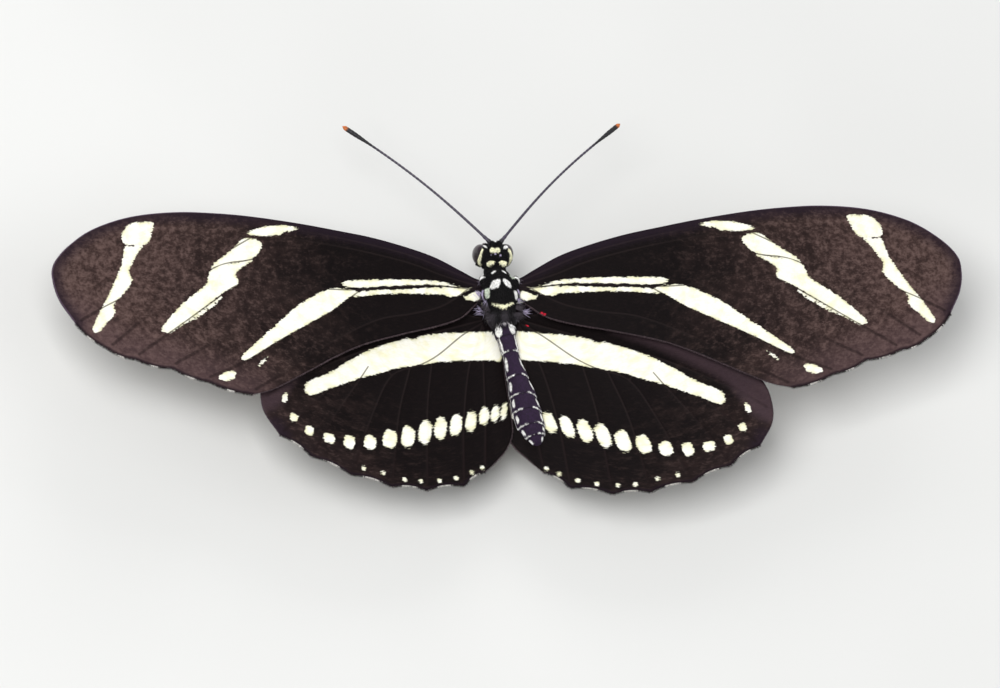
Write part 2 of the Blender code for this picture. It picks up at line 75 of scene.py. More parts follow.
FORE_LEADING = (
    (1.0, 0.5), (2.3, 1.0), (3.7, 1.75), (6.2, 2.95), (9.0, 3.8), (12.5, 4.6), (16.0, 5.15), (20.0, 5.75),
    (25.0, 6.35), (29.0, 6.62), (32.2, 6.65), (35.5, 6.35), (38.4, 5.7), (41.3, 4.5), (43.7, 2.7),
    (44.95, 1.1), (45.15, -0.4), (44.75, -2.4), (43.45, -4.8),
)
FORE_MARGIN = ((43.45, -4.8), (40.6, -7.4), (38.0, -8.45), (34.4, -9.4), (31.0, -10.75), (26.8, -12.0))
FORE_TRAILING = (
    (26.8, -12.0), (24.4, -11.3), (20.4, -9.25), (18.0, -7.95), (14.8, -6.5), (10.6, -5.2), (7.0, -4.2),
    (4.4, -3.2), (2.9, -2.0), (2.1, -1.2), (1.0, -0.9),
)
# How far the outer margin swells out between two vein ends, and below zero how far it dips in.
FORE_SCALLOP = 0.22
FORE_VEINS = (
    ((2.0, 0.6), (5.0, 1.7), (9.0, 3.05), (15.0, 4.25), (22.0, 5.25), (27.5, 6.1)),
    ((1.8, 0.15), (5.6, 1.1), (9.0, 2.2), (15.0, 3.35), (21.9, 4.2), (27.0, 4.45), (32.0, 4.3), (36.4, 3.45),
     (40.5, 2.2), (44.2, 0.7)),
    ((19.0, 3.85), (25.0, 4.95), (31.0, 6.0)),
    ((23.5, 4.3), (30.0, 5.15), (36.5, 5.7)),
    ((29.5, 4.4), (35.0, 4.9), (40.2, 4.5)),
    ((34.0, 4.0), (39.0, 3.4), (43.1, 2.6)),
    ((24.5, 4.35), (28.9, 1.95), (34.5, -0.5), (39.6, -2.7), (42.9, -4.5)),
    ((24.1, 2.1), (25.7, 1.75), (29.0, 0.95), (34.5, -2.7), (40.1, -7.0)),
    ((24.5, 4.35), (24.1, 2.1), (23.4, 0.3)),
    ((1.8, -0.25), (5.9, 0.0), (9.7, -0.3), (14.4, -0.9), (19.2, -0.85), (23.4, 0.3), (26.5, -0.6),
     (28.8, -2.0), (33.0, -4.9), (37.6, -8.0)),
    ((19.2, -0.85), (26.0, -4.5), (34.1, -8.95)),
    ((14.4, -0.9), (17.4, -3.1), (20.7, -5.0), (23.2, -6.35), (27.2, -8.7), (30.8, -10.3)),
    ((1.9, 0.15), (2.8, 0.0), (3.6, -0.5), (4.8, -1.35), (6.6, -2.3), (9.4, -3.1), (13.1, -3.95),
     (18.0, -6.4), (22.6, -9.3), (26.4, -11.5)),
)

HIND_LEADING = (
    (1.0, -1.5), (2.2, -1.2), (4.0, -1.1), (7.0, -1.25), (11.0, -1.9), (15.0, -3.4), (19.0, -5.6),
    (22.2, -8.0), (24.2, -10.7), (24.85, -12.6), (24.7, -15.0), (23.2, -17.4),
)
HIND_MARGIN = (
    (23.2, -17.4), (20.1, -19.3), (16.2, -20.75), (12.1, -21.5), (8.5, -21.4), (4.6, -20.4), (2.3, -18.6),
)
HIND_TRAILING = (
    (2.3, -18.6), (1.0, -17.3), (-0.1, -15.9), (-0.7, -14.2), (-0.6, -12.0), (-0.3, -9.0), (0.0, -5.6),
    (0.7, -3.4),
)
HIND_SCALLOP = -0.28
HIND_VEINS = (
    ((1.9, -2.7), (6.0, -2.4), (12.0, -3.5), (18.0, -6.3), (23.5, -10.2)),
    ((1.9, -2.95), (5.2, -4.2), (9.3, -5.9), (13.0, -8.0), (18.5, -12.6), (22.8, -17.0)),
    ((9.3, -5.9), (15.0, -8.1), (21.0, -11.3), (24.3, -13.5)),
    ((13.0, -8.0), (14.7, -10.6), (17.8, -15.2), (19.9, -18.8)),
    ((13.0, -8.0), (11.5, -10.0)),
    ((1.8, -3.2), (3.9, -4.7), (6.5, -7.1), (8.4, -8.4), (11.5, -10.0), (13.6, -14.0), (16.0, -20.2)),
    ((9.6, -9.0), (11.0, -14.0), (12.0, -20.9)),
    ((7.2, -7.6), (8.0, -13.0), (8.45, -20.8)),
    ((1.8, -3.45), (3.4, -8.0), (4.3, -14.0), (4.6, -19.8)),
    ((1.7, -3.7), (1.9, -8.0), (2.0, -13.0), (2.3, -17.9)),
)

# Cream markings of the forewing, each a closed outline between the veins that bound it.
FORE_CREAM = {
    "apex patch": ((34.5, 5.5), (35.8, 5.6), (37.1, 5.3), (37.85, 4.1), (37.55, 3.3), (36.5, 3.3),
                   (35.3, 3.42), (34.8, 4.6)),
    "apex bar": ((35.85, 3.2), (36.4, 2.5), (36.9, 1.7), (37.5, 0.6), (37.3, -0.4), (38.3, -1.7),
                 (39.45, -2.85), (39.45, -3.75), (40.4, -4.8), (41.5, -5.8), (41.9, -5.5), (41.4, -4.4),
                 (40.45, -2.9), (39.6, -1.4), (38.7, 0.2), (38.05, 1.6), (37.65, 3.05), (36.8, 3.15)),
    "middle costal patch": ((19.8, 5.2), (21.7, 5.5), (23.6, 5.25), (25.3, 4.6), (25.0, 4.4), (23.4, 4.35),
                            (21.8, 4.5), (21.6, 4.8)),
    "middle upper bar": ((23.9, 3.6), (25.5, 4.1), (26.9, 2.95), (28.7, 1.6), (29.3, 0.95), (27.4, 1.37),
                         (25.7, 1.78), (24.6, 2.3)),
    "middle lower bar": ((25.0, 1.85), (26.4, 1.58), (27.6, 1.3), (29.2, 0.85), (29.7, 0.1), (30.2, -0.9),
                         (32.8, -2.9), (35.0, -5.3), (34.7, -5.7), (33.9, -5.6), (31.2, -3.7), (28.8, -1.85),
                         (26.8, -0.7), (26.7, -0.3), (26.9, 0.5)),
    "middle slip": ((28.6, -1.95), (30.0, -2.92), (31.5, -3.95), (32.7, -4.8), (31.6, -4.35), (30.2, -3.45),
                    (29.1, -2.65)),
    "faint streak": ((24.7, -8.1), (25.2, -8.35), (25.95, -9.1), (25.8, -9.14), (25.05, -8.55)),
    "cell streak": ((3.9, 0.1), (5.0, 0.36), (6.2, 0.5), (8.6, 0.48), (11.0, 0.4), (13.4, 0.25), (15.6, 0.0),
                    (16.3, -0.42), (15.0, -0.7), (13.0, -0.5), (11.0, -0.3), (8.8, -0.08), (6.8, 0.05)),
    "lower streak": ((2.75, 0.03), (3.4, -0.08), (5.7, -0.14), (8.0, -0.34), (10.35, -0.62), (14.2, -1.0),
                     (15.3, -1.65), (13.6, -1.4), (11.8, -1.15), (8.4, -0.95), (5.6, -0.9), (5.1, -1.05),
                     (4.2, -0.88), (3.55, -0.5), (3.0, -0.14)),
    "long bar": ((14.8, -1.0), (15.8, -0.95), (17.0, -0.85), (18.5, -1.3), (21.1, -2.8), (23.3, -4.6),
                 (25.3, -6.3), (27.2, -7.9), (27.5, -8.35), (27.0, -8.55), (25.1, -7.45), (23.3, -6.35),
                 (20.8, -4.95), (18.0, -3.4), (16.6, -2.4), (15.5, -1.65)),
    "root spot": ((1.95, -0.9), (2.1, -0.45), (2.42, -0.36), (2.8, -0.52), (3.3, -0.88), (3.8, -1.12),
                  (3.5, -1.22), (3.0, -1.25), (2.6, -1.38), (2.1, -1.2)),
    "hind corner spot": ((28.2, -9.8), (28.8, -9.65), (29.4, -9.85), (30.0, -10.4), (29.5, -10.7),
                         (28.4, -10.4)),
}
# The one cream band of the hind wing.
HIND_CREAM = {
    "band": ((0.0, -4.1), (1.7, -4.1), (3.4, -4.3), (5.1, -4.6), (6.8, -5.0), (8.4, -5.5), (9.25, -6.0),
             (9.45, -5.75), (11.6, -6.6), (14.0, -7.8), (16.0, -9.1), (18.0, -10.5), (20.1, -11.6),
             (20.45, -12.2), (20.4, -12.7), (19.8, -13.0), (18.1, -12.2), (16.2, -11.3), (14.6, -10.6),
             (12.3, -9.7), (11.2, -9.2), (9.6, -8.75), (8.0, -8.3), (6.4, -7.85), (4.7, -7.45), (2.1, -7.05),
             (0.7, -6.95), (0.0, -6.8)),
}
# The smooth, paler patch of the hind wing that the forewing slides over.
SLIDE_PATCH = (
    (9.5, -0.8), (13.0, -1.8), (16.0, -3.2), (19.5, -5.2), (22.8, -7.6), (25.0, -10.4), (25.6, -12.6),
    (25.2, -15.4), (23.0, -14.6), (21.6, -12.4), (20.2, -10.7), (17.2, -8.7), (14.2, -6.9), (11.8, -5.7),
    (9.9, -4.4),
)
# Red dots near the wing roots: place, and half width and half height.
RED_DOTS = {"fore": ((4.0, -2.80, 0.42, 0.17),), "hind": ((2.6, -3.55, 0.22, 0.12),)}
# Row of spots inside the hind margin: place, width and height. Their upper ends lean towards the body.
HIND_SPOTS = (
    (0.02, -12.1, 0.62, 1.75), (0.95, -12.45, 0.82, 1.85), (2.1, -12.85, 1.02, 1.95),
    (3.5, -13.6, 1.16, 2.2), (5.1, -14.2, 1.24, 2.3), (6.7, -14.75, 1.30, 2.4), (8.35, -15.4, 1.36, 2.5),
    (10.15, -16.1, 1.46, 2.25), (12.05, -16.6, 1.50, 1.95), (14.1, -17.2, 1.36, 1.45),
    (16.2, -17.4, 1.20, 1.40), (18.25, -17.25, 1.25, 1.00), (20.2, -16.65, 0.95, 1.00),
    (21.7, -15.5, 0.80, 0.92), (22.5, -13.5, 0.56, 1.10),
)
SPOT_LEAN = 14.0
# The spots are drawn a little narrower than listed.
SPOT_SLIMNESS = 0.95
# Small dots along the very edge of the hind wing, two between each vein and the next, and none near its
# outer end.
HIND_DOTS = (
    (2.6, -18.3), (3.7, -18.95), (5.4, -19.75), (7.1, -20.3), (9.1, -20.55), (10.75, -20.6), (12.9, -20.25),
    (14.9, -19.95),
)
DOT_SIZE = (0.46, 0.44)

# Trunk: each station is the middle line (X, Y, Z), then half width, height above it and depth below it.
THORAX = (
    (0, 1.75, -0.30, 0.90, 0.95, 1.15), (0, 1.45, -0.28, 1.25, 1.25, 1.60),
    (0, 0.60, -0.20, 1.56, 1.58, 2.10), (0, -0.60, -0.15, 1.68, 1.75, 2.30),
    (0, -1.80, -0.20, 1.60, 1.60, 2.20), (0, -2.75, -0.30, 1.38, 1.25, 1.90),
    (0, -3.45, -0.40, 1.12, 1.00, 1.45), (0, -3.85, -0.45, 0.80, 0.70, 1.00),
)
SCUTELLUM = ((0, -2.30, 0.80), (0.95, 0.62, 0.48))
TEGULA = ((1.56, 0.42, 0.58), (0.42, 0.66, 0.32))
PROTHORAX = (
    (0, 1.20, -0.30, 1.05, 1.05, 1.35), (0, 2.15, -0.30, 1.08, 1.02, 1.20),
    (0, 2.60, -0.33, 0.95, 0.85, 1.00), (0, 3.10, -0.35, 0.60, 0.60, 0.70),
)
COLLAR_LOBE = ((0.52, 2.28, 0.62), (0.52, 0.32, 0.36))
ABDOMEN_LINE = (
    (-0.06, -3.30, -0.45), (0.16, -4.20, -0.50), (0.70, -7.60, -0.80), (1.12, -9.90, -0.95),
    (1.35, -11.70, -1.05), (1.62, -13.60, -1.12), (2.00, -15.20, -1.18), (2.20, -15.90, -1.20),
)
ABDOMEN_GIRTH = ((0.0, 0.90), (0.06, 1.06), (0.12, 1.02), (0.22, 0.88), (0.33, 0.90), (0.42, 1.06),
                 (0.55, 1.30), (0.65, 1.41), (0.75, 1.46), (0.85, 1.36), (0.92, 1.05), (0.97, 0.70),
                 (1.0, 0.30))
ABDOMEN_JOINTS = (0.0, 0.125, 0.250, 0.444, 0.598, 0.722, 0.841, 0.925, 1.0)
ABDOMEN_DEEPER = 1.08
ABDOMEN_ROLL = -12.0
SEGMENT_STEP = 0.09
RING_SLIP = 0.42
# Where the abdomen's own colour and unwrap begin, where its coat begins, and how far from its middle it
# reaches.
ABDOMEN_FRONT = -3.75
ABDOMEN_COAT_FRONT = -3.9
ABDOMEN_REACH = 1.75
COAT_DEPTH = 0.07
# Each lock has three corners at its root, three half way along, and its tip.
LOCK_CORNERS = 7

HEAD = ((0.05, 3.62, -0.35), (1.12, 1.25, 1.50))
EYE = ((1.20, 3.62, -0.33), (0.78, 1.02, 1.18))
EYE_TURN = 8.0
EYE_RIM = 0.05
EYE_RIM_FACING = (0.89, 0.44, -0.07)
EYE_RIM_SHOWS = 0.16
PALP = ((0.42, 4.05, -1.10), (0.45, 4.60, -1.42), (0.47, 4.84, -1.22), (0.46, 4.85, -0.90),
        (0.43, 4.76, -0.68))
PALP_RADII = (0.20, 0.22, 0.21, 0.17, 0.07)
TONGUE_CENTRE = (4.95, -2.95)
TONGUE_TURNS = 3.6
ANTENNA_ROOT = (0.42, 4.08, 0.55)
ANTENNA_SOCKET = (0.60, 4.48, 0.95)
ANTENNA_TIP = (13.85, 16.30, 1.60)
ANTENNA_BOW = 0.55
# How far the solid club reaches past the antenna's tip.
SOLID_CLUB_REACH = 0.33 * 0.6
ANTENNA_RINGS = 42

# Root joints of the legs: start, end and half thickness, and how that changes on the way.
COXAE = (
    ((0.42, 1.25, -1.1), (0.55, 1.35, -2.2), 0.42), ((0.60, 0.25, -1.3), (0.80, -0.15, -2.9), 0.52),
    ((0.60, -1.95, -1.2), (0.80, -2.55, -2.7), 0.50),
)
COXA_TAPER = (0.8, 1.0, 1.05, 1.05, 1.0, 0.9, 0.75, 0.5)
TARSUS_LEVEL = FLOOR + 0.13
LEGS = {
    "foreleg": ((0.50, 1.00, -1.60), (0.66, 1.50, -2.70), (0.62, 2.35, -2.75), (0.72, 1.35, -3.45),
                (0.68, 0.55, -3.45)),
    "midleg": ((0.55, 0.00, -1.90), (1.00, -0.35, -3.40), (2.42, 1.30, -1.45), (4.70, 2.60, -6.30),
               (7.20, 3.20, TARSUS_LEVEL)),
    "hindleg": ((0.55, -2.20, -1.80), (1.00, -2.90, -3.20), (2.90, -5.20, -2.50), (4.60, -8.00, -6.30),
                (5.60, -11.20, TARSUS_LEVEL)),
}

# The photograph's viewing direction: turned about the upright, then tipped, with a slight roll.
VIEW_TURN = 17.0
VIEW_TIP = 23.0
VIEW_ROLL = 0.7
VIEW_DISTANCE = 2000.0
VIEW_CENTRE = (0.143, -5.286)
PIXELS_PER_MM = 10.5
PHOTO_WIDTH = 1000
SENSOR_WIDTH = 36.0


def place(points):
    """Points in millimetres of the animal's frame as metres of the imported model's frame."""
    front = ANTENNA_TIP[1] + SOLID_CLUB_REACH
    back = min(y for _, y in HIND_MARGIN)
    shift = np.array((0.0, -(front + back) / 2, HINGE_HEIGHT))
    return (np.asarray(points, float) + shift) * MM


def mirrored(point, side):
    return (point[0] * side, *point[1:])


def unit(vectors):
    return vectors / np.maximum(np.linalg.norm(vectors, axis=-1, keepdims=True), 1e-9)


def spline(points, step):
    """Points about STEP apart on a smooth curve through the given ones."""
    known = np.asarray(points, float)
    ends = np.vstack((2 * known[0] - known[1], known, 2 * known[-1] - known[-2]))
    curve = [known[0]]
    for a, b, c, d in zip(ends, ends[1:], ends[2:], ends[3:]):
        count = max(1, round(float(np.linalg.norm(c - b)) / step))
        for k in range(1, count + 1):
            t = k / count
            bend = (2 * a - 5 * b + 4 * c - d) * t * t + (3 * b - a - 3 * c + d) * t**3
            curve.append((2 * b + (c - a) * t + bend) / 2)
    return np.array(curve)


def travelled(line):
    """Share of the way along a line at each of its points, and its whole length."""
    run = np.concatenate(([0.0], np.cumsum(np.linalg.norm(np.diff(line, axis=0), axis=1))))
    return run / run[-1], float(run[-1])


def inside(points, outline):
    """Which points lie inside a closed outline."""
    result = np.zeros(len(points), bool)
    for a, b in zip(outline, np.roll(outline, -1, axis=0)):
        crosses = (a[1] > points[:, 1]) != (b[1] > points[:, 1])
        reach = a[0] + (points[:, 1] - a[1]) * (b[0] - a[0]) / np.where(b[1] == a[1], 1e-9, b[1] - a[1])
        result ^= crosses & (points[:, 0] < reach)
    return result


def distance(points, line):
    """Distance from each point to a line of straight runs, in two dimensions or three."""
    nearest = np.full(len(points), np.inf)
    for a, b in zip(line, line[1:]):
        run = b - a
        t = np.clip(((points - a) @ run) / max(float(run @ run), 1e-9), 0.0, 1.0)
        gap = points - a - t[:, None] * run
        nearest = np.minimum(nearest, np.einsum("ij,ij->i", gap, gap))
    return np.sqrt(nearest)


def rounded(corners, step):
    """A closed smooth outline through the given corners."""
    corners = np.asarray(corners, float)
    curve = spline(np.vstack((corners[-1:], corners, corners[:2])), step)
    lead_in = max(1, round(float(np.linalg.norm(corners[0] - corners[-1])) / step))
    lead_out = max(1, round(float(np.linalg.norm(corners[1] - corners[0])) / step))
    return curve[lead_in:-lead_out]


def inset(points, outline):
    """How far each point lies inside a closed outline, and below zero how far outside."""
    outline = np.asarray(outline, float)
    edge = distance(points, np.vstack((outline, outline[:1])))
    return np.where(inside(points, outline), edge, -edge)


def oval(points, centre, wide, high, lean=0.0):
    """Like inset(), for an oval with squarish sides."""
    c, s = math.cos(math.radians(lean)), math.sin(math.radians(lean))
    x, y = (points - np.array(centre)).T
    across = np.abs(x * c + y * s) / (wide / 2)
    along = np.abs(y * c - x * s) / (high / 2)
    return (1 - (across**2.6 + along**2.6) ** (1 / 2.6)) * min(wide, high) / 2


def smoothstep(low, high, values):
    t = np.clip((values - low) / (high - low), 0.0, 1.0)
    return t * t * (3 - 2 * t)


def linear(code):
    """An sRGB hex colour as the linear RGBA that the shader takes."""
    channels = [int(code[k : k + 2], 16) / 255 for k in (1, 3, 5)]
    return (*(c / 12.92 if c <= 0.04045 else ((c + 0.055) / 1.055) ** 2.4 for c in channels), 1.0)


def tone(code):
    """An sRGB hex colour as three linear numbers."""
    return np.array(linear(code)[:3])


def add(tree, kind, settings=None, links=None):
    """A shader node with its settings and links, each by the name or number of its socket."""
    node = tree.nodes.new(kind)
    for name, value in (settings or {}).items():
        if isinstance(name, str) and hasattr(node, name):
            setattr(node, name, value)
        else:
            node.inputs[name].default_value = value
    for name, source in (links or {}).items():
        tree.links.new(source, node.inputs[name])
    return node


def new_material(name, **settings):
    """A material of that name, its tree, and its Principled shader with these settings on its own
    sockets."""
    material = bpy.data.materials.new(name)
    material.use_nodes = True
    shader = material.node_tree.nodes["Principled BSDF"]
    for socket, value in settings.items():
        shader.inputs[socket.replace("_", " ")].default_value = value
    return material, material.node_tree, shader


def mixed(tree, factor, first, second):
    """The colour between two, each a hex code or a socket, by a factor socket."""
    settings, links = {"data_type": "RGBA"}, {0: factor}
    for socket, colour in ((6, first), (7, second)):
        if isinstance(colour, str):
            settings[socket] = linear(colour)
        else:
            links[socket] = colour
    return add(tree, "ShaderNodeMix", settings, links).outputs[2]


def ramped(tree, value, low, high, to_low=0.0, to_high=1.0):
    """A value socket mapped smoothly from one range to another."""
    settings = {"interpolation_type": "SMOOTHSTEP", 1: low, 2: high, 3: to_low, 4: to_high}
    return add(tree, "ShaderNodeMapRange", settings, {0: value}).outputs[0]


def summed(tree, *terms):
    """The sum of value sockets, each given with its weight, and of plain numbers."""
    total = None
    for term in terms:
        socket, weight = term if isinstance(term, tuple) else (None, term)
        settings = {"operation": "MULTIPLY_ADD", 1: weight if socket else 1.0, 2: 0.0}
        links = {}
        if socket:
            links[0] = socket
        else:
            settings[0] = weight
        if total:
            links[2] = total
        total = add(tree, "ShaderNodeMath", settings, links).outputs[0]
    return total


def times(tree, first, second):
    return add(tree, "ShaderNodeMath", {"operation": "MULTIPLY"}, {0: first, 1: second}).outputs[0]


def wing_finish(name, upper):
    """Overlapping wing scales of pigmented chitin on a clear membrane: matt, and ragged where cream scales
    meet black ones. Real scales are 0.08 mm wide and lie in rows 0.12 mm apart, too fine for the render, so
    rows are drawn 0.24 mm apart and single scales 0.11 mm wide."""
    material, tree, shader = new_material(name, Roughness=0.66, Metallic=0.0, IOR=1.5,
                                          Specular_IOR_Level=0.07)
    measure = {}
    for word in ("cream_edge", "vein_edge", "line_edge", "rim_edge", "costa_edge", "red_edge", "slide_edge",
                 "spread",
                 "near_body"):
        measure[word] = add(tree, "ShaderNodeAttribute", {"attribute_name": word}).outputs["Fac"]
    lie = add(tree, "ShaderNodeAttribute", {"attribute_name": "lie"}).outputs["Vector"]

    def noise(scale, detail, rough=0.5, place_socket=lie):
        settings = {"Scale": scale, "Detail": detail, "Roughness": rough}
        return add(tree, "ShaderNodeTexNoise", settings, {"Vector": place_socket}).outputs["Fac"]

    scale_place = add(tree, "ShaderNodeMapping", {"Scale": (1 / SCALE_SIZE[0], 1 / SCALE_SIZE[1], 1.0)},
                      {"Vector": lie}).outputs[0]
    tile_settings = {"voronoi_dimensions": "2D", "Scale": 1.0, "Randomness": 0.7}
    tiles = add(tree, "ShaderNodeTexVoronoi", tile_settings, {"Vector": scale_place})
    streak_place = add(tree, "ShaderNodeMapping", {"Scale": (1 / STREAK_SIZE[0], 1 / STREAK_SIZE[1], 1.0)},
                       {"Vector": lie}).outputs[0]
    streaks = noise(1.0, 3.0, place_socket=streak_place)
    clouds = noise(0.75, 5.0, 0.62)
    grains = noise(1.9, 5.0, 0.7)
    drifts = noise(0.16, 2.0)
    tile_tone = add(tree, "ShaderNodeSeparateColor", {}, {0: tiles.outputs["Color"]}).outputs[0]
    # Black ground, browner and softly mottled outwards, and purple-black along the leading edge, with
    # painted sheen near the outer margin and a painted highlight on the leading edge.
    spread = measure["spread"]
    brown = ramped(tree, summed(tree, (spread, 1.35), (clouds, 0.7), (drifts, 0.5), -0.98), 0.0, 1.0)
    browns = ("#0d0809", "#453431", "#755f5a") if upper else ("#2a201e", "#4e3f39", "#8b766d")
    dark, warm, pale_brown = browns
    ground = mixed(tree, brown, dark, warm)
    blotch = ramped(tree, summed(tree, (grains, 1.0), (clouds, 0.4), (tile_tone, 0.12), (spread, 0.16)),
                    0.80, 1.10)
    ground = mixed(tree, times(tree, blotch, ramped(tree, spread, 0.22, 0.8, 0.02, 0.62)), ground,
                   pale_brown)
    dark_grain = ramped(tree, summed(tree, (grains, 1.0), (clouds, 0.6)), 0.80, 0.58)
    ground = mixed(tree, times(tree, dark_grain, ramped(tree, spread, 0.3, 0.7, 0.0, 0.5)), ground,
                   "#1c1312")
    # Lighter pinkish mauve within a few millimetres of the outer margin, on the outer wing: painted sheen.
    margin = times(tree, ramped(tree, measure["rim_edge"], 4.5, 0.3, 0.0, 0.4),
                   ramped(tree, spread, 0.4, 0.7))
    ground = mixed(tree, margin, ground, "#5a4649")
    slide = ramped(tree, summed(tree, (measure["slide_edge"], 1.0), (streaks, 0.5), -0.25), -0.4, 1.0, 0.0,
                   0.7)
    ground = mixed(tree, slide, ground, "#4a3a40" if upper else "#7d6c68")
    costal = ramped(tree, summed(tree, (measure["costa_edge"], 1.0), (streaks, 0.8)), 2.0, 0.5)
    costal = times(tree, costal, ramped(tree, measure["slide_edge"], 0.0, -1.0))
    ground = mixed(tree, times(tree, costal, ramped(tree, measure["near_body"], 0.0, 4.0, 0.5, 0.82)),
                   ground, "#211722")
    # A thin lilac line on the very leading edge of the outer wing: painted highlight.
    lip = times(tree, ramped(tree, measure["costa_edge"], 0.11, 0.03), ramped(tree, spread, 0.4, 0.8))
    ground = mixed(tree, lip, ground, "#5c4c5e")
    # Veins: faint rubbed lines on the inner half, dark lines near the outer margin.
    on_vein = ramped(tree, measure["vein_edge"], 0.13, 0.04)
    ground = mixed(tree, times(tree, on_vein, ramped(tree, spread, 0.55, 0.25, 0.0, 0.08)), ground,
                   "#5a4b4a")
    outer = times(tree, ramped(tree, measure["vein_edge"], 0.24, 0.05),
                  ramped(tree, measure["rim_edge"], 7.0, 2.0, 0.0, 0.55))
    ground = mixed(tree, outer, ground, "#170e0f")
    ground = mixed(tree, ramped(tree, measure["rim_edge"], 0.30, 0.08, 0.0, 0.75), ground, "#1d131c")
    # Cream markings, their edge broken up scale by scale, dulled by painted shade in patches near that edge,
    # and crossed by hair-thin dark veins.
    edge = summed(tree, (measure["cream_edge"], 1.0), (streaks, 0.30), (grains, 0.24), (tile_tone, 0.10),
                  -0.32)
    cream = ramped(tree, edge, -0.04, 0.05)
    # Within 0.3 mm of the cream's edge, in cloudy patches, the cream dulls to grey-yellow: painted shade.
    painted_shade = ramped(tree, edge, 0.30, 0.0, 0.0, 0.6)
    tint = mixed(tree, ramped(tree, clouds, 0.42, 0.75), "#fbf9ee", "#f4efca")
    tint = mixed(tree, times(tree, painted_shade, ramped(tree, clouds, 0.36, 0.6)), tint, "#cdcb9a")
    tint = mixed(tree, ramped(tree, measure["line_edge"], 0.10, 0.045, 0.0, 0.8), tint, "#3a3324")
    if not upper:
        tint = mixed(tree, ramped(tree, drifts, 0.2, 0.8, 0.2, 0.5), tint, "#d8cbb0")
    colour = mixed(tree, cream, ground, tint)
    red = ramped(tree, summed(tree, (measure["red_edge"], 1.0), (streaks, 0.22), -0.12), -0.02, 0.05)
    colour = mixed(tree, red, colour, "#d8243a" if upper else "#b01c34")
    # Each scale is a little lighter or darker than the next.
    colour = mixed(tree, ramped(tree, tile_tone, 0.0, 1.0, 0.0, 0.16), colour,
                   mixed(tree, cream, "#1d1413", "#d8d4b4"))
    tree.links.new(colour, shader.inputs["Base Color"])
    rough = add(tree, "ShaderNodeMath", {"operation": "MULTIPLY_ADD", 1: 0.2, 2: 0.55},
                {0: streaks}).outputs[0]
    tree.links.new(rough, shader.inputs["Roughness"])
    height = summed(tree, (tiles.outputs["Distance"], -0.6), (streaks, 0.5), (clouds, 0.5))
    bump = add(tree, "ShaderNodeBump", {"Strength": 0.32, "Distance": 0.00006}, {"Height": height})
    tree.links.new(bump.outputs[0], shader.inputs["Normal"])
    return material


def tinted_finish(name, grain, depth, **settings):
    """Scales or hair coloured by the tint that each point carries, with grain of the given size in
    millimetres."""
    material, tree, shader = new_material(name, **settings)
    tint = add(tree, "ShaderNodeAttribute", {"attribute_name": "tint"}).outputs["Color"]
    where = add(tree, "ShaderNodeTexCoord").outputs["Object"]
    coarse = add(tree, "ShaderNodeTexNoise", {"Scale": 1 / (grain * 3 * MM), "Detail": 3.0},
                 {"Vector": where}).outputs["Fac"]
    fine = add(tree, "ShaderNodeTexVoronoi", {"Scale": 1 / (grain * MM)}, {"Vector": where})
    shaded = add(tree, "ShaderNodeHueSaturation", {},
                 {"Color": tint, "Value": ramped(tree, coarse, 0.2, 0.8, 0.62, 1.38)})
    tree.links.new(shaded.outputs[0], shader.inputs["Base Color"])
    rough = shader.inputs["Roughness"].default_value
    tree.links.new(ramped(tree, coarse, 0.3, 0.7, rough - 0.1, rough + 0.1), shader.inputs["Roughness"])
    height = summed(tree, (fine.outputs["Distance"], 1.0), (coarse, 0.6))
    bump = add(tree, "ShaderNodeBump", {"Strength": 0.5, "Distance": depth * MM}, {"Height": height})
    tree.links.new(bump.outputs[0], shader.inputs["Normal"])
    return material


def eye_finish():
    """Clear glossy cornea over dark pigment, moulded into hexagonal facets, with a painted lilac sheen
    towards the eye's rim. Real facets are 0.025 mm wide, so they are drawn 0.05 mm wide."""
    material, tree, shader = new_material(
        "Faceted eye cornea", Roughness=0.22, IOR=1.56, Coat_Weight=0.35, Coat_Roughness=0.12,
        Specular_IOR_Level=0.5
    )
    where = add(tree, "ShaderNodeTexCoord").outputs["Object"]
    facets = add(tree, "ShaderNodeTexVoronoi", {"Scale": 1 / (0.05 * MM), "Randomness": 0.15},
                 {"Vector": where})
    bands = add(tree, "ShaderNodeTexNoise", {"Scale": 1 / (0.9 * MM), "Detail": 2.0},
                {"Vector": where}).outputs["Fac"]
    painted_sheen_rim = add(tree, "ShaderNodeAttribute", {"attribute_name": "painted_sheen_rim"}).outputs["Fac"]
    colour = mixed(tree, ramped(tree, bands, 0.35, 0.65), "#1b1118", "#33222c")
    # Lilac towards the rim of the eye, away from its outward side: painted sheen.
    colour = mixed(tree, ramped(tree, painted_sheen_rim, 0.45, 1.0, 0.0, 0.55), colour, "#6a5a80")
    tree.links.new(colour, shader.inputs["Base Color"])
    bump = add(tree, "ShaderNodeBump", {"Strength": 0.35, "Distance": 0.01 * MM, "invert": True},
               {"Height": facets.outputs["Distance"]})
    tree.links.new(bump.outputs[0], shader.inputs["Normal"])
    return material


def floor_finish():
    """Matt white-grey card, with a barely visible mottle."""
    material, tree, shader = new_material("Pale matt card", Roughness=0.9, Specular_IOR_Level=0.15)
    where = add(tree, "ShaderNodeTexCoord").outputs["Object"]
    mottle = add(tree, "ShaderNodeTexNoise", {"Scale": 18.0, "Detail": 2.0},
                 {"Vector": where}).outputs["Fac"]
    tree.links.new(mixed(tree, ramped(tree, mottle, 0.3, 0.7), "#dcdcda", "#e2e2e0"),
                   shader.inputs["Base Color"])
    return material


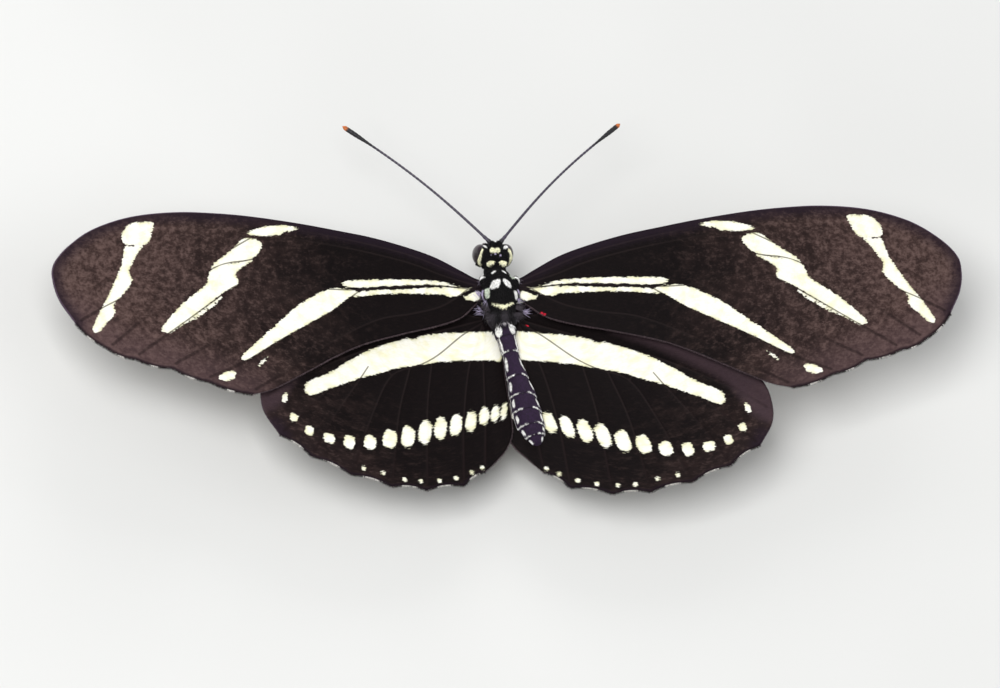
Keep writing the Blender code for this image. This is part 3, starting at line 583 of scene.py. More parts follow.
def make_piece(name, points, faces, finishes, nodes=(), values=None, tints=None, patches=None,
               picks=None):
    """A smooth mesh piece that rides on the body, with its measures, tints and bake patches as named
    layers."""
    mesh = bpy.data.meshes.new(name)
    mesh.from_pydata(place(points).tolist(), [], [list(map(int, face)) for face in faces])
    for finish in finishes:
        mesh.materials.append(finish)
    if picks is not None:
        mesh.polygons.foreach_set("material_index", np.asarray(picks, np.int32))
    for word, column in (values or {}).items():
        kind, key = ("FLOAT", "value") if column.ndim == 1 else ("FLOAT_VECTOR", "vector")
        layer = mesh.attributes.new(word, kind, "POINT")
        layer.data.foreach_set(key, column.astype(np.float32).ravel())
    if tints is not None:
        whole = np.column_stack((tints, np.ones(len(tints)))).astype(np.float32)
        mesh.attributes.new("tint", "FLOAT_COLOR", "POINT").data.foreach_set("color", whole.ravel())
    if patches is not None:
        corner = np.empty(len(mesh.loops), np.int32)
        mesh.loops.foreach_get("vertex_index", corner)
        mesh.uv_layers.new(name="OFBake").data.foreach_set("uv", patches[corner].astype(np.float32).ravel())
    mesh.shade_smooth()
    mesh.validate()
    made = bpy.data.objects.new(name, mesh)
    bpy.context.scene.collection.objects.link(made)
    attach(made, "root")
    if nodes:
        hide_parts(*nodes)
    return made


def wing_height(out):
    """Height of the middle of the forewing above the hinges, at a distance out from the midline."""
    return WING_RISE * np.tanh(np.maximum(np.abs(out) - HINGE_OUT, 0.0) / RISE_REACH)


def scalloped(ends, depth, step):
    """The outer margin, swelling by DEPTH between one vein's end and the next, with the share of that
    way."""
    margin, share = [np.array(ends[0])], [0.0]
    for a, b in zip(np.array(ends), np.array(ends[1:])):
        run = b - a
        outward = np.array((-run[1], run[0])) / np.linalg.norm(run)
        count = max(2, round(float(np.linalg.norm(run)) / step))
        for k in range(1, count + 1):
            margin.append(a + run * k / count + outward * depth * math.sin(math.pi * k / count))
            share.append(k / count)
    return np.array(margin), np.array(share)


WINGS = {
    "fore": {"leading": FORE_LEADING, "margin": FORE_MARGIN, "trailing": FORE_TRAILING,
             "scallop": FORE_SCALLOP,
             "veins": FORE_VEINS, "cream": FORE_CREAM, "root": (HINGE_OUT - 0.5, 0.0), "reach": 43.0,
             "dark_lines": [FORE_VEINS[k] for k in (6, 7, 9, 10, 11, 12)]},
    "hind": {"leading": HIND_LEADING, "margin": HIND_MARGIN, "trailing": HIND_TRAILING,
             "scallop": HIND_SCALLOP,
             "veins": HIND_VEINS, "cream": HIND_CREAM, "root": HIND_HINGE, "reach": 27.0,
             "dark_lines": [((13.9, -9.35), (14.7, -10.6), (15.6, -12.0)), HIND_VEINS[5]]},
}


def wing_measures(kind, points):
    """What the scales' colour depends on at each point of a flat, unswung right wing, in millimetres."""
    wing = WINGS[kind]
    cream = np.maximum.reduce([inset(points, rounded(outline, 0.3)) for outline in wing["cream"].values()])
    if kind == "hind":
        for x, y, wide, high in HIND_SPOTS:
            cream = np.maximum(cream, oval(points, (x, y), wide * SPOT_SLIMNESS, high, SPOT_LEAN))
        for x, y in HIND_DOTS:
            cream = np.maximum(cream, oval(points, (x, y), *DOT_SIZE) * 0.8)
    red = np.maximum.reduce([oval(points, (x, y), a * 2, b * 2, -25.0) for x, y, a, b in RED_DOTS[kind]])
    margin = scalloped(wing["margin"], wing["scallop"], 0.6)[0]
    leading = spline(wing["leading"], 0.8)
    root = np.array(wing["root"])
    out = points - root
    reach = np.linalg.norm(out, axis=1)
    turn = np.arctan2(out[:, 1], out[:, 0])
    lie = np.column_stack((reach, turn * np.maximum(reach, 2.0), np.zeros(len(points))))
    veins = [spline(vein, 0.8) for vein in wing["veins"]]
    slide = inset(points, rounded(SLIDE_PATCH, 0.5)) if kind == "hind" else np.full(len(points), -3.0)
    return {
        "cream_edge": np.clip(cream, -2.0, 2.0),
        "red_edge": np.clip(red, -1.0, 1.0),
        "vein_edge": np.minimum.reduce([distance(points, vein) for vein in veins]),
        "line_edge": np.minimum.reduce([distance(points, spline(line, 0.8)) for line in wing["dark_lines"]]),
        "rim_edge": distance(points, margin),
        "costa_edge": distance(points, leading),
        "slide_edge": slide,
        "spread": np.clip(reach / wing["reach"], 0.0, 1.0) * (1.0 if kind == "fore" else 0.54),
        "near_body": reach,
        "lie": lie,
    }


def swung(kind, side_word, points):
    """Points of a flat wing at their real place on the flat, before it is mirrored."""
    swing = HIND_SWING[side_word] if kind == "hind" else 0.0
    c, s = math.cos(math.radians(swing)), math.sin(math.radians(swing))
    hinge = np.array(WINGS[kind]["root"])
    return (points - hinge) @ np.array(((c, s), (-s, c))) + hinge


def blade_height(kind, side, points, turned):
    """Height of a wing's middle. The hind wings' inner edges fold down under the abdomen, the right below
    the left."""
    level = wing_height(turned[:, 0])
    if kind == "hind":
        level -= HIND_DROP + (0.40 if side > 0 else 0.14) * smoothstep(0.9, -0.5, points[:, 0])
    return level


def wing_outline(wing, step):
    margin = scalloped(wing["margin"], wing["scallop"], step)[0]
    return np.vstack((spline(wing["leading"], step)[:-1], margin[:-1], spline(wing["trailing"], step)))


def wing_weave(kind):
    """Corner points and triangles of a flat blade, close enough for its veins and the edges of its
    markings."""
    wing = WINGS[kind]
    outline = wing_outline(wing, WEAVE)
    lines = [spline(vein, WEAVE) for vein in wing["veins"]]
    corners = [outline]
    links = [(k, (k + 1) % len(outline)) for k in range(len(outline))]
    first = len(outline)
    for line in lines:
        corners.append(line)
        links += [(first + k, first + k + 1) for k in range(len(line) - 1)]
        first += len(line)
    closed = np.vstack((outline, outline[:1]))
    coarse = [spline(vein, 1.0) for vein in wing["veins"]]
    beside = []
    for line in lines:
        run = np.gradient(line, axis=0)
        normal = unit(np.column_stack((-run[:, 1], run[:, 0])))
        beside += [line + normal * VEIN_WIDTH, line - normal * VEIN_WIDTH]
    beside = np.vstack(beside)
    near = np.minimum.reduce([distance(beside, line) for line in coarse])
    free = (near > VEIN_WIDTH * 0.8) & (distance(beside, closed) > WEAVE * 0.5)
    beside = beside[free & inside(beside, outline)]
    low, high = outline.min(axis=0), outline.max(axis=0)
    rows = []
    for number, y in enumerate(np.arange(low[1], high[1], WEAVE * 0.866)):
        xs = np.arange(low[0] + (number % 2) * WEAVE / 2, high[0], WEAVE)
        rows.append(np.column_stack((xs, np.full(len(xs), y))))
    grid = np.vstack(rows)
    grid = grid[inside(grid, outline)]
    clear = np.minimum.reduce([distance(grid, line) for line in coarse]) > VEIN_WIDTH + WEAVE * 0.45
    grid = grid[clear & (distance(grid, closed) > WEAVE * 0.6)]
    every = np.vstack((*corners, beside, grid))
    found = delaunay_2d_cdt([Vector(p) for p in every], links, [], 0, 1e-5)
    points = np.array([tuple(p) for p in found[0]])
    triangles = np.array(found[2])
    triangles = triangles[inside(points[triangles].mean(axis=1), outline)]
    used = np.unique(triangles)
    renumber = np.zeros(len(points), int)
    renumber[used] = np.arange(len(used))
    return points[used], renumber[triangles]


def relief(measures):
    """Height of the membrane over its middle surface: sagging between veins, ridged over them, flat at the
    edge."""
    sag = -FOLD_DEPTH * (1 - np.exp(-((measures["vein_edge"] / FOLD_REACH) ** 2)))
    return sag * smoothstep(0.0, 1.2, np.minimum(measures["rim_edge"], measures["costa_edge"] + 0.4))


def make_wing(kind, side_word, weave, measures, finishes):
    """One blade: a thin membrane with a scaled upper and a scaled under face."""
    points, triangles = weave
    side = SIDES[side_word]
    turned = swung(kind, side_word, points)
    ridge = VEIN_RIDGE * np.exp(-((measures["vein_edge"] / (VEIN_WIDTH * 0.8)) ** 2))
    ridge += 0.06 * np.exp(-((measures["costa_edge"] / 0.2) ** 2))
    ridge *= smoothstep(0.0, 2.0, measures["rim_edge"])
    root_swell = 0.16 * np.exp(-((measures["near_body"] / 1.6) ** 2))
    middle = blade_height(kind, side, points, turned) + relief(measures)
    half = MEMBRANE / 2 + root_swell
    flat = turned * (side, 1)
    above = np.column_stack((flat, middle + half + ridge))
    below = np.column_stack((flat, middle - half - ridge * 0.6))
    count = len(points)
    order = 1 if side > 0 else -1
    faces = [tuple(t[::order]) for t in triangles] + [tuple(t[::-order] + count) for t in triangles]
    edges = {(a, b) for t in triangles for a, b in ((t[0], t[1]), (t[1], t[2]), (t[2], t[0]))}
    rim = [(b, a, a + count, b + count)[::order] for a, b in edges if (b, a) not in edges]
    picks = [0] * len(triangles) + [1] * len(triangles) + [0] * len(rim)
    values = {word: np.concatenate((column, column)) for word, column in measures.items()}
    if side < 0:
        # The upper red dots show on the right wings only.
        values["red_edge"][:count] = -1.0
    return make_piece(f"scaled_{kind}wing_{side_word}", np.vstack((above, below)), faces + rim, finishes,
                      [f"{kind}wing_{side_word}"], values, picks=picks)


def tapered_locks(roots, runs, widths, lifts, bend=0.35):
    """Many three-sided locks at once: points, faces, and the number of the lock that each point belongs
    to."""
    ahead = unit(runs)
    across = unit(np.cross(ahead, lifts))
    outward = unit(np.cross(across, ahead))
    middle = roots + runs * 0.5 + outward * (np.linalg.norm(runs, axis=1) * bend * 0.25)[:, None]
    tips = roots + runs - outward * (np.linalg.norm(runs, axis=1) * bend * 0.2)[:, None]
    corners = []
    for start, share in ((roots, 0.5), (middle, 0.42)):
        for turn in (90.0, 210.0, 330.0):
            flat = across * math.cos(math.radians(turn)) + outward * (0.4 * math.sin(math.radians(turn)))
            corners.append(start + flat * widths[:, None] * share)
    corners.append(tips)
    points = np.stack(corners, axis=1).reshape(-1, 3)
    first = np.arange(len(roots)) * LOCK_CORNERS
    faces = []
    for a, b in ((0, 1), (1, 2), (2, 0)):
        faces += np.column_stack((first + a, first + b, first + b + 3, first + a + 3)).tolist()
        faces += np.column_stack((first + a + 3, first + b + 3, first + 6)).tolist()
    return points, faces, np.repeat(np.arange(len(roots)), LOCK_CORNERS)


def lock_patches(spots, owners):
    """Bake patches about 0.003 across, one for each lock, at its root's place on the unwrapped surface."""
    corner = np.arange(len(owners)) % LOCK_CORNERS
    small = np.array(((0.0, 0.0), (0.001, 0.0), (0.002, 0.0), (0.0, 0.0015), (0.001, 0.0015),
                      (0.002, 0.0015), (0.001, 0.003)))
    return 0.01 + 0.98 * spots[owners] + small[corner]


def make_locks(name, roots, runs, widths, lifts, tints, spots, finish):
    """A piece of many locks, each with its own tint, and with a bake patch at its own spot."""
    points, faces, owners = tapered_locks(roots, runs, widths, lifts)
    make_piece(name, points, faces, [finish], tints=np.clip(tints[owners], 0.0, 1.0),
               patches=lock_patches(spots, owners))


def make_fringe(kind, side_word, finish):
    """Two rows of hair scales along the outer and inner margins, white in the middle of each interspace."""
    wing = WINGS[kind]
    side = SIDES[side_word]
    top = spline(wing["leading"][-6:] if kind == "fore" else wing["leading"][-4:], 0.07)
    margin, share = scalloped(wing["margin"], wing["scallop"], 0.07)
    inner = spline(wing["trailing"], 0.10)
    line = np.vstack((top, margin, inner))
    shares = np.concatenate((np.zeros(len(top)), share, np.zeros(len(inner))))
    long_here = np.concatenate((np.full(len(top), 0.09), np.full(len(margin), 0.25),
                                np.full(len(inner), 0.17)))
    run = np.gradient(line, axis=0)
    outward = unit(np.column_stack((-run[:, 1], run[:, 0])))
    black, brown, pale = (tone(code) for code in ("#1c1415", "#54454a", "#d9d5cf"))
    is_margin = ((shares > 0.0) & (shares < 1.0))[:, None]
    base = np.where(is_margin, black, brown)
    roots, runs, widths, tints = [], [], [], []
    for row in range(2):
        jitter = draw.normal(0.0, 0.18, len(line))
        length = long_here * draw.uniform(0.75, 1.15, len(line)) * (1.0 - 0.3 * row)
        way = outward + run * jitter[:, None] / np.maximum(np.linalg.norm(run, axis=1), 1e-6)[:, None] * 0.8
        flat_start, flat_end = line - outward * 0.05, line + unit(way) * length[:, None]
        start, end = swung(kind, side_word, flat_start), swung(kind, side_word, flat_end)
        low_start = blade_height(kind, side, flat_start, start) - 0.02 * row
        low_end = blade_height(kind, side, flat_end, end) - 0.03 - 0.03 * row
        low_end += draw.normal(0.0, 0.02, len(line))
        roots.append(np.column_stack((start * (side, 1), low_start)))
        runs.append(np.column_stack((end * (side, 1), low_end)) - roots[-1])
        widths.append(draw.uniform(0.055, 0.085, len(line)))
        from_middle = np.abs(shares - 0.5) + draw.normal(0.0, 0.04, len(line))
        white = (shares > 0.0) & (from_middle < (0.10 if kind == "fore" else 0.19)) & (row == 0)
        tints.append(np.where(white[:, None], pale, base) * draw.uniform(0.8, 1.2, len(line))[:, None])
    roots, runs, widths, tints = np.vstack(roots), np.vstack(runs), np.concatenate(widths), np.vstack(tints)
    spots = np.column_stack((np.abs(roots[:, 0]) / 50.0, (roots[:, 1] + 25.0) / 50.0))
    lifts = np.tile((0.0, 0.0, 1.0), (len(roots), 1))
    make_locks(f"fringe_{kind}wing_{side_word}", roots, runs, widths, lifts, tints, spots,
               finish)


def raw_object(name, points, faces):
    """A plain mesh object in millimetres, used while the skin is put together."""
    mesh = bpy.data.meshes.new(name)
    mesh.from_pydata(np.asarray(points).tolist(), [], faces)
    made = bpy.data.objects.new(name, mesh)
    bpy.context.scene.collection.objects.link(made)
    return made


def ring_faces(rings, sides):
    """Faces of a closed body of rings, whose last two points are the middles of its ends."""
    faces = []
    for ring in range(rings - 1):
        for k in range(sides):
            low, high = ring * sides, (ring + 1) * sides
            faces.append((low + k, low + (k + 1) % sides, high + (k + 1) % sides, high + k))
    for k in range(sides):
        faces.append(((k + 1) % sides, k, rings * sides))
        faces.append(((rings - 1) * sides + k, (rings - 1) * sides + (k + 1) % sides, rings * sides + 1))
    return faces


def loft_shape(stations, sides=64):
    """A closed body along its stations, each an oval that may be deeper below its middle than above."""
    line = np.array([s[:3] for s in stations], float)
    sizes = np.array([s[3:] for s in stations], float)
    along = unit(np.gradient(line, axis=0))
    points = []
    for centre, forward, (wide, high, deep) in zip(line, along, sizes):
        across = unit(np.cross(forward, (0.0, 0.0, 1.0)))
        upward = np.cross(across, forward)
        turn = 2 * np.pi * np.arange(sides) / sides
        lift = np.sin(turn) * np.where(np.sin(turn) > 0, high, deep)
        points += list(centre + np.outer(np.cos(turn) * wide, across) + np.outer(lift, upward))
    return np.vstack((points, line[0], line[-1])), ring_faces(len(line), sides)


def ball_shape(centre, radii, fine=4, turn=0.0):
    """A ball drawn out to three radii, turned about the upright by TURN degrees."""
    shape = bmesh.new()
    bmesh.ops.create_icosphere(shape, subdivisions=fine, radius=1.0)
    ball = np.array([v.co for v in shape.verts])
    faces = [tuple(v.index for v in f.verts) for f in shape.faces]
    shape.free()
    c, s = math.cos(math.radians(turn)), math.sin(math.radians(turn))
    return ball * np.array(radii) @ np.array(((c, s, 0), (-s, c, 0), (0, 0, 1))) + np.array(centre), faces


def tube_shape(line, radii, sides=16):
    """A round rod of changing thickness along a line, with closed ends."""
    line, radii = np.asarray(line, float), np.asarray(radii, float)
    along = unit(np.gradient(line, axis=0))
    across = unit(np.cross(along[0], (0.31, 0.17, 0.93)))
    points = []
    for centre, forward, radius in zip(line, along, radii):
        across = unit(across - forward * (across @ forward))
        upward = np.cross(forward, across)
        turn = 2 * np.pi * np.arange(sides) / sides
        points += list(centre + radius * (np.outer(np.cos(turn), across) + np.outer(np.sin(turn), upward)))
    return np.vstack((points, line[0], line[-1])), ring_faces(len(line), sides)


def joined(*shapes):
    """Several shapes as one list of points and faces."""
    points, faces, first = [], [], 0
    for shape_points, shape_faces in shapes:
        points.append(shape_points)
        faces += [tuple(int(k) + first for k in face) for face in shape_faces]
        first += len(shape_points)
    return np.vstack(points), faces


def finer(stations, step=0.15):
    """Stations of a loft with smooth ones put in between, drawn in by the coat's depth."""
    dense = spline(stations, step)
    dense[:, 3:] -= COAT_DEPTH
    return dense


ABDOMEN_MIDDLE = spline(ABDOMEN_LINE, 0.04)
ABDOMEN_SHARES, ABDOMEN_LENGTH = travelled(ABDOMEN_MIDDLE)


def abdomen_shape():
    """Eight ringed segments, each swelling backwards to a lip that overlaps the next."""
    shares, girths = np.array(ABDOMEN_GIRTH).T
    stations = []
    for start, end in zip(ABDOMEN_JOINTS, ABDOMEN_JOINTS[1:]):
        for part in (0.0, 0.05, 0.15, 0.35, 0.6, 0.85, 0.96, 1.0):
            share = start + (end - start) * (0.015 + 0.97 * part)
            centre = [np.interp(share, ABDOMEN_SHARES, ABDOMEN_MIDDLE[:, k]) for k in range(3)]
            swell, lip = smoothstep(0.0, 0.85, part), smoothstep(0.94, 1.0, part)
            proud = SEGMENT_STEP * (swell - 0.75) - SEGMENT_STEP * 0.6 * lip
            girth = float(np.interp(share, shares, girths)) - COAT_DEPTH * 0.7 + proud
            stations.append((*centre, girth, girth * ABDOMEN_DEEPER, girth * ABDOMEN_DEEPER))
    points, faces = loft_shape(stations)
    share, angle, _ = abdomen_place(points)
    back = unit(np.array(ABDOMEN_LINE[-1]) - np.array(ABDOMEN_LINE[2]))
    return points + ring_slip(share, angle)[:, None] * back, faces


def eye_rim_shape(side):
    """The head's rim round an eye: a shell of the eye's own form, open where the eye looks out."""
    points, faces = ball_shape(mirrored(EYE[0], side), np.array(EYE[1]) + EYE_RIM, 5, -EYE_TURN * side)
    shape = bmesh.new()
    made = [shape.verts.new(p) for p in points]
    for face in faces:
        shape.faces.new([made[k] for k in face])
    facing = unit(np.array(mirrored(EYE_RIM_FACING, side)))
    cut = np.array(mirrored(EYE[0], side)) + facing * EYE_RIM_SHOWS
    geometry = shape.verts[:] + shape.edges[:] + shape.faces[:]
    result = bmesh.ops.bisect_plane(shape, geom=geometry, plane_co=cut, plane_no=facing, clear_outer=True)
    border = [piece for piece in result["geom_cut"] if isinstance(piece, bmesh.types.BMEdge)]
    bmesh.ops.edgeloop_fill(shape, edges=border)
    bmesh.ops.triangulate(shape, faces=shape.faces)
    shape.verts.index_update()
    rim = np.array([v.co for v in shape.verts]), [tuple(v.index for v in f.verts) for f in shape.faces]
    shape.free()
    return rim


def skin_shapes():
    """Everything that the one skin covers, before it is fused."""
    shapes = [loft_shape(finer(THORAX)), loft_shape(finer(PROTHORAX)), abdomen_shape()]
    centre, radii = HEAD
    shapes.append(ball_shape(centre, np.array(radii) - COAT_DEPTH, 5))
    shapes.append(ball_shape(SCUTELLUM[0], np.array(SCUTELLUM[1]) - COAT_DEPTH * 0.5, 5))
    # Crown of the head, face, back of the head and the two halves of the first neck plate.
    shapes.append(ball_shape((0.02, 3.75, 0.42), (0.72, 0.78, 0.62), 4))
    shapes.append(ball_shape((0.04, 4.45, -0.55), (0.62, 0.45, 0.80), 4))
    for side in SIDES.values():
        shapes.append(eye_rim_shape(side))
        shapes.append(ball_shape(mirrored((0.72, 2.72, -0.20), side), (0.62, 0.42, 0.80), 4))
        shapes.append(ball_shape(mirrored(COLLAR_LOBE[0], side), np.array(COLLAR_LOBE[1]) - 0.03, 4))
        shapes.append(ball_shape(mirrored(TEGULA[0], side), np.array(TEGULA[1]) - COAT_DEPTH * 0.5, 4,
                                 -12.0 * side))
        socket = np.array(mirrored(ANTENNA_SOCKET, side))
        way = unit(np.array(mirrored(ANTENNA_TIP, side)) - socket)
        ring = [socket - way * 0.55, socket - way * 0.2, socket - way * 0.12]
        shapes.append(tube_shape(ring, (0.30, 0.27, 0.22)))
        # Side plates over the wing hinges, coxae, and the lobes of the hind thorax.
        shapes.append(ball_shape(mirrored((1.25, -0.70, 0.35), side), (0.62, 0.95, 0.52), 4, 6.0 * side))
        shapes.append(ball_shape(mirrored((0.62, -3.20, 0.28), side), (0.62, 0.55, 0.46), 4))
        for start, end, thick in COXAE:
            line = np.linspace(mirrored(start, side), mirrored(end, side), len(COXA_TAPER))
            shapes.append(tube_shape(line, thick * np.array(COXA_TAPER), 20))
    return shapes


def fused(shapes, cell, rounds):
    """One closed smooth surface over several shapes, as points and faces."""
    objects = [raw_object("lump", *shape) for shape in shapes]
    bpy.ops.object.select_all(action="DESELECT")
    for lump in objects:
        lump.select_set(True)
    bpy.context.view_layer.objects.active = objects[0]
    bpy.ops.object.join()
    whole = objects[0]
    remesh = whole.modifiers.new("fuse", "REMESH")
    remesh.mode = "VOXEL"
    remesh.voxel_size = cell
    smooth = whole.modifiers.new("smooth", "SMOOTH")
    smooth.factor = 0.5
    smooth.iterations = rounds
    mesh = bpy.data.meshes.new_from_object(whole.evaluated_get(bpy.context.evaluated_depsgraph_get()))
    bpy.data.objects.remove(whole)
    points = np.empty(len(mesh.vertices) * 3, np.float32)
    mesh.vertices.foreach_get("co", points)
    points = points.reshape(-1, 3).astype(float)
    faces = [tuple(p.vertices) for p in mesh.polygons]
    bpy.data.meshes.remove(mesh)
    return points, faces


# Pale marks of head and thorax: a line through the mark, its half width at each point, and its colour. Some
# are painted light: grey-green stands for white in painted shade, and three lilac dots on the face are
# painted glints.
CREAM, WHITE, LILAC, WHITE_IN_PAINTED_SHADE = "#f7f4cf", "#f2f1ee", "#b9aecb", "#c4cdbc"
MARKS = (
    (((-0.92, -0.22, 1.26), (-0.70, -0.02, 1.38), (-0.42, 0.24, 1.42)), (0.33, 0.44, 0.26), WHITE),
    (((0.66, -0.20, 1.38), (0.50, 0.02, 1.42), (0.30, 0.26, 1.42)), (0.27, 0.36, 0.22), WHITE),
    # Left dorsal spot: white, dulled to grey-green as painted shade.
    (((-1.42, -1.05, 0.74), (-1.38, -0.55, 0.80)), (0.24, 0.28), WHITE_IN_PAINTED_SHADE),
    (((1.36, -1.25, 0.80), (1.32, -0.80, 0.92)), (0.20, 0.22), WHITE),
    (((-1.86, -1.30, 0.35), (-1.78, -0.50, 0.52)), (0.12, 0.16), LILAC),
    (((1.72, -1.30, 0.40), (1.66, -0.50, 0.62)), (0.12, 0.17), LILAC),
    (((-0.66, 1.24, 0.90), (-0.46, 1.44, 0.92)), (0.12, 0.15), WHITE),
    (((0.56, 1.24, 0.94), (0.38, 1.42, 0.96)), (0.12, 0.14), WHITE),
    (((-1.88, 0.76, 0.66), (-1.52, 1.08, 0.76)), (0.16, 0.20), WHITE),
    # Right shoulder mark: white, dulled to grey-green as painted shade.
    (((1.40, 0.78, 0.70), (1.12, 1.12, 0.66)), (0.16, 0.20), WHITE_IN_PAINTED_SHADE),
    (((1.50, 0.86, 0.84), (1.78, 0.76, 0.80), (1.92, 0.42, 0.74)), (0.10, 0.13, 0.10), WHITE),
    (((-0.90, 2.28, 0.62), (-0.64, 2.42, 0.88)), (0.27, 0.30), CREAM),
    (((0.62, 2.20, 0.80), (0.40, 2.38, 0.94)), (0.27, 0.29), CREAM),
    (((-0.48, 3.62, 0.98), (-0.20, 3.50, 1.06), (0.10, 3.56, 1.10)), (0.27, 0.19, 0.27), CREAM),
    (((-1.00, 4.06, 0.66), (-0.92, 4.14, 0.72)), (0.22, 0.19), WHITE),
    (((1.00, 3.98, 0.78), (0.94, 4.04, 0.82)), (0.22, 0.19), WHITE),
    (((-1.40, 3.66, 0.80), (-1.62, 3.08, 0.42), (-1.44, 2.68, -0.30)), (0.16, 0.24, 0.17), CREAM),
    (((1.30, 3.58, 0.84), (1.52, 3.02, 0.44), (1.40, 2.66, -0.28)), (0.16, 0.24, 0.17), CREAM),
    # Three tiny lilac dots between the eyes: painted glints of light, not marks.
    (((-0.62, 3.14, 0.78), (-0.56, 3.16, 0.80)), (0.10, 0.10), LILAC),
    (((-0.20, 3.16, 0.98), (-0.16, 3.16, 0.98)), (0.09, 0.09), LILAC),
    (((0.36, 3.08, 0.86), (0.40, 3.08, 0.86)), (0.10, 0.10), LILAC),
    (((-1.16, -1.92, 0.86), (-0.74, -2.16, 1.10), (-0.12, -2.40, 1.26), (0.42, -2.18, 1.24),
      (0.98, -1.90, 1.04)),
     (0.08, 0.13, 0.19, 0.13, 0.08), CREAM),
    (((-0.80, -3.62, 0.32), (-0.13, -3.66, 0.52), (0.74, -3.62, 0.38)), (0.11, 0.13, 0.11), "#b5b0b4"),
    # Sides and underside, out of sight in the photograph and guessed: pale dashes over the leg roots and
    # under the eyes.
    (((1.42, 0.75, -0.80), (1.36, 0.30, -1.25)), (0.16, 0.12), CREAM),
    (((-1.42, 0.75, -0.80), (-1.36, 0.30, -1.25)), (0.16, 0.12), CREAM),
    (((1.45, -1.00, -0.90), (1.30, -1.35, -1.45)), (0.17, 0.12), CREAM),
    (((-1.45, -1.00, -0.90), (-1.30, -1.35, -1.45)), (0.17, 0.12), CREAM),
    (((1.15, -2.60, -0.75), (1.02, -2.95, -1.20)), (0.15, 0.11), CREAM),
    (((-1.15, -2.60, -0.75), (-1.02, -2.95, -1.20)), (0.15, 0.11), CREAM),
    (((0.95, 4.30, -0.95), (0.80, 3.70, -1.50), (0.55, 3.05, -1.45)), (0.12, 0.16, 0.12), CREAM),
    (((-0.85, 4.30, -0.95), (-0.70, 3.70, -1.50), (-0.45, 3.05, -1.45)), (0.12, 0.16, 0.12), CREAM),
)
BLACK, HIND_GREY, PURPLE, BELLY = "#050305", "#4a454b", "#2b1d33", "#cfc6b4"


def mark_depth(points, line, widths):
    """How far inside a mark each point lies, and below zero how far outside."""
    line = np.asarray(line, float)
    deepest = np.full(len(points), -np.inf)
    for a, b, wide, next_wide in zip(line, line[1:], widths, widths[1:]):
        run = b - a
        t = np.clip(((points - a) @ run) / float(run @ run), 0.0, 1.0)
        gap = np.linalg.norm(points - a - t[:, None] * run, axis=1)
        deepest = np.maximum(deepest, wide + (next_wide - wide) * t - gap)
    return deepest


def abdomen_place(points):
    """For each point: share along the abdomen, signed angle from its back line, and distance from its
    middle."""
    share = np.zeros(len(points))
    angle = np.zeros(len(points))
    reach = np.full(len(points), 9.0)
    behind = np.flatnonzero(points[:, 1] < ABDOMEN_LINE[0][1])
    if not len(behind):
        return share, angle, reach
    coarse = ABDOMEN_MIDDLE[::3]
    near = np.argmin(((points[behind, None, :] - coarse[None]) ** 2).sum(axis=2), axis=1) * 3
    forward = unit(np.gradient(ABDOMEN_MIDDLE, axis=0))[near]
    right = unit(np.cross((0.0, 0.0, 1.0), forward)) * -1
    right = np.where(right[:, :1] < 0, -right, right)
    upward = unit((0.0, 0.0, 1.0) - forward * forward[:, 2:])
    offset = points[behind] - ABDOMEN_MIDDLE[near]
    along = np.einsum("ij,ij->i", offset, forward)
    share[behind] = np.clip(ABDOMEN_SHARES[near] + along / ABDOMEN_LENGTH, 0.0, 1.0)
    side, lift = np.einsum("ij,ij->i", offset, right), np.einsum("ij,ij->i", offset, upward)
    angle[behind] = np.degrees(np.arctan2(side, lift)) - ABDOMEN_ROLL
    reach[behind] = np.hypot(side, lift)
    return share, (angle + 180.0) % 360.0 - 180.0, reach


def ring_slip(share, angle):
    """How far back, in millimetres, each ring's rear edge lies on the right, where the bend stretches the
    joints."""
    begins, ends = smoothstep(0.20, 0.34, share), smoothstep(0.98, 0.86, share)
    return RING_SLIP * smoothstep(5.0, 75.0, angle) * begins * ends


def abdomen_white(share, angle):
    """How far inside a white mark of the abdomen each point lies: side patches, lips of the rings and thin
    lines."""
    turn = np.abs(angle)
    number = np.clip(np.searchsorted(ABDOMEN_JOINTS, share, side="right") - 1, 0, len(ABDOMEN_JOINTS) - 2)
    start, end = np.array(ABDOMEN_JOINTS)[number], np.array(ABDOMEN_JOINTS)[number + 1]
    part = (share - start) / (end - start)
    girth = np.interp(share, *np.array(ABDOMEN_GIRTH).T)
    arc = np.radians(1.0) * girth
    length = (end - start) * ABDOMEN_LENGTH
    patch_turn = np.where(number == 0, 45.0, 56.0)
    patch_wide = np.where(number == 0, 0.46, np.where(number == 1, 0.15, 0.22))
    patch_from = np.where(number == 0, 0.24, np.where(number == 1, 0.0, 0.20))
    patch_to = np.where(number == 1, 1.0, np.where(number == 0, 0.98, 0.70))
    middle, half = (patch_from + patch_to) / 2, (patch_to - patch_from) / 2
    across = (turn - patch_turn) * arc / patch_wide
    along = (part - middle) / half
    patch = (1 - (np.abs(across) ** 2.5 + np.abs(along) ** 2.5) ** 0.4) * patch_wide
    lip = 0.058 - np.abs((1 - part) * length - 0.075)
    lip = np.minimum(lip, (turn - 20.0) * arc * 0.22)
    lip = np.minimum(lip, (96.0 - turn) * arc * 0.3)
    lip = np.where((number >= 1) & (number <= 6), lip, -1.0)
    line = np.where(number >= 1, 0.05 - np.abs(turn - 80.0) * arc, -1.0)
    return np.maximum.reduce([patch, lip, line])


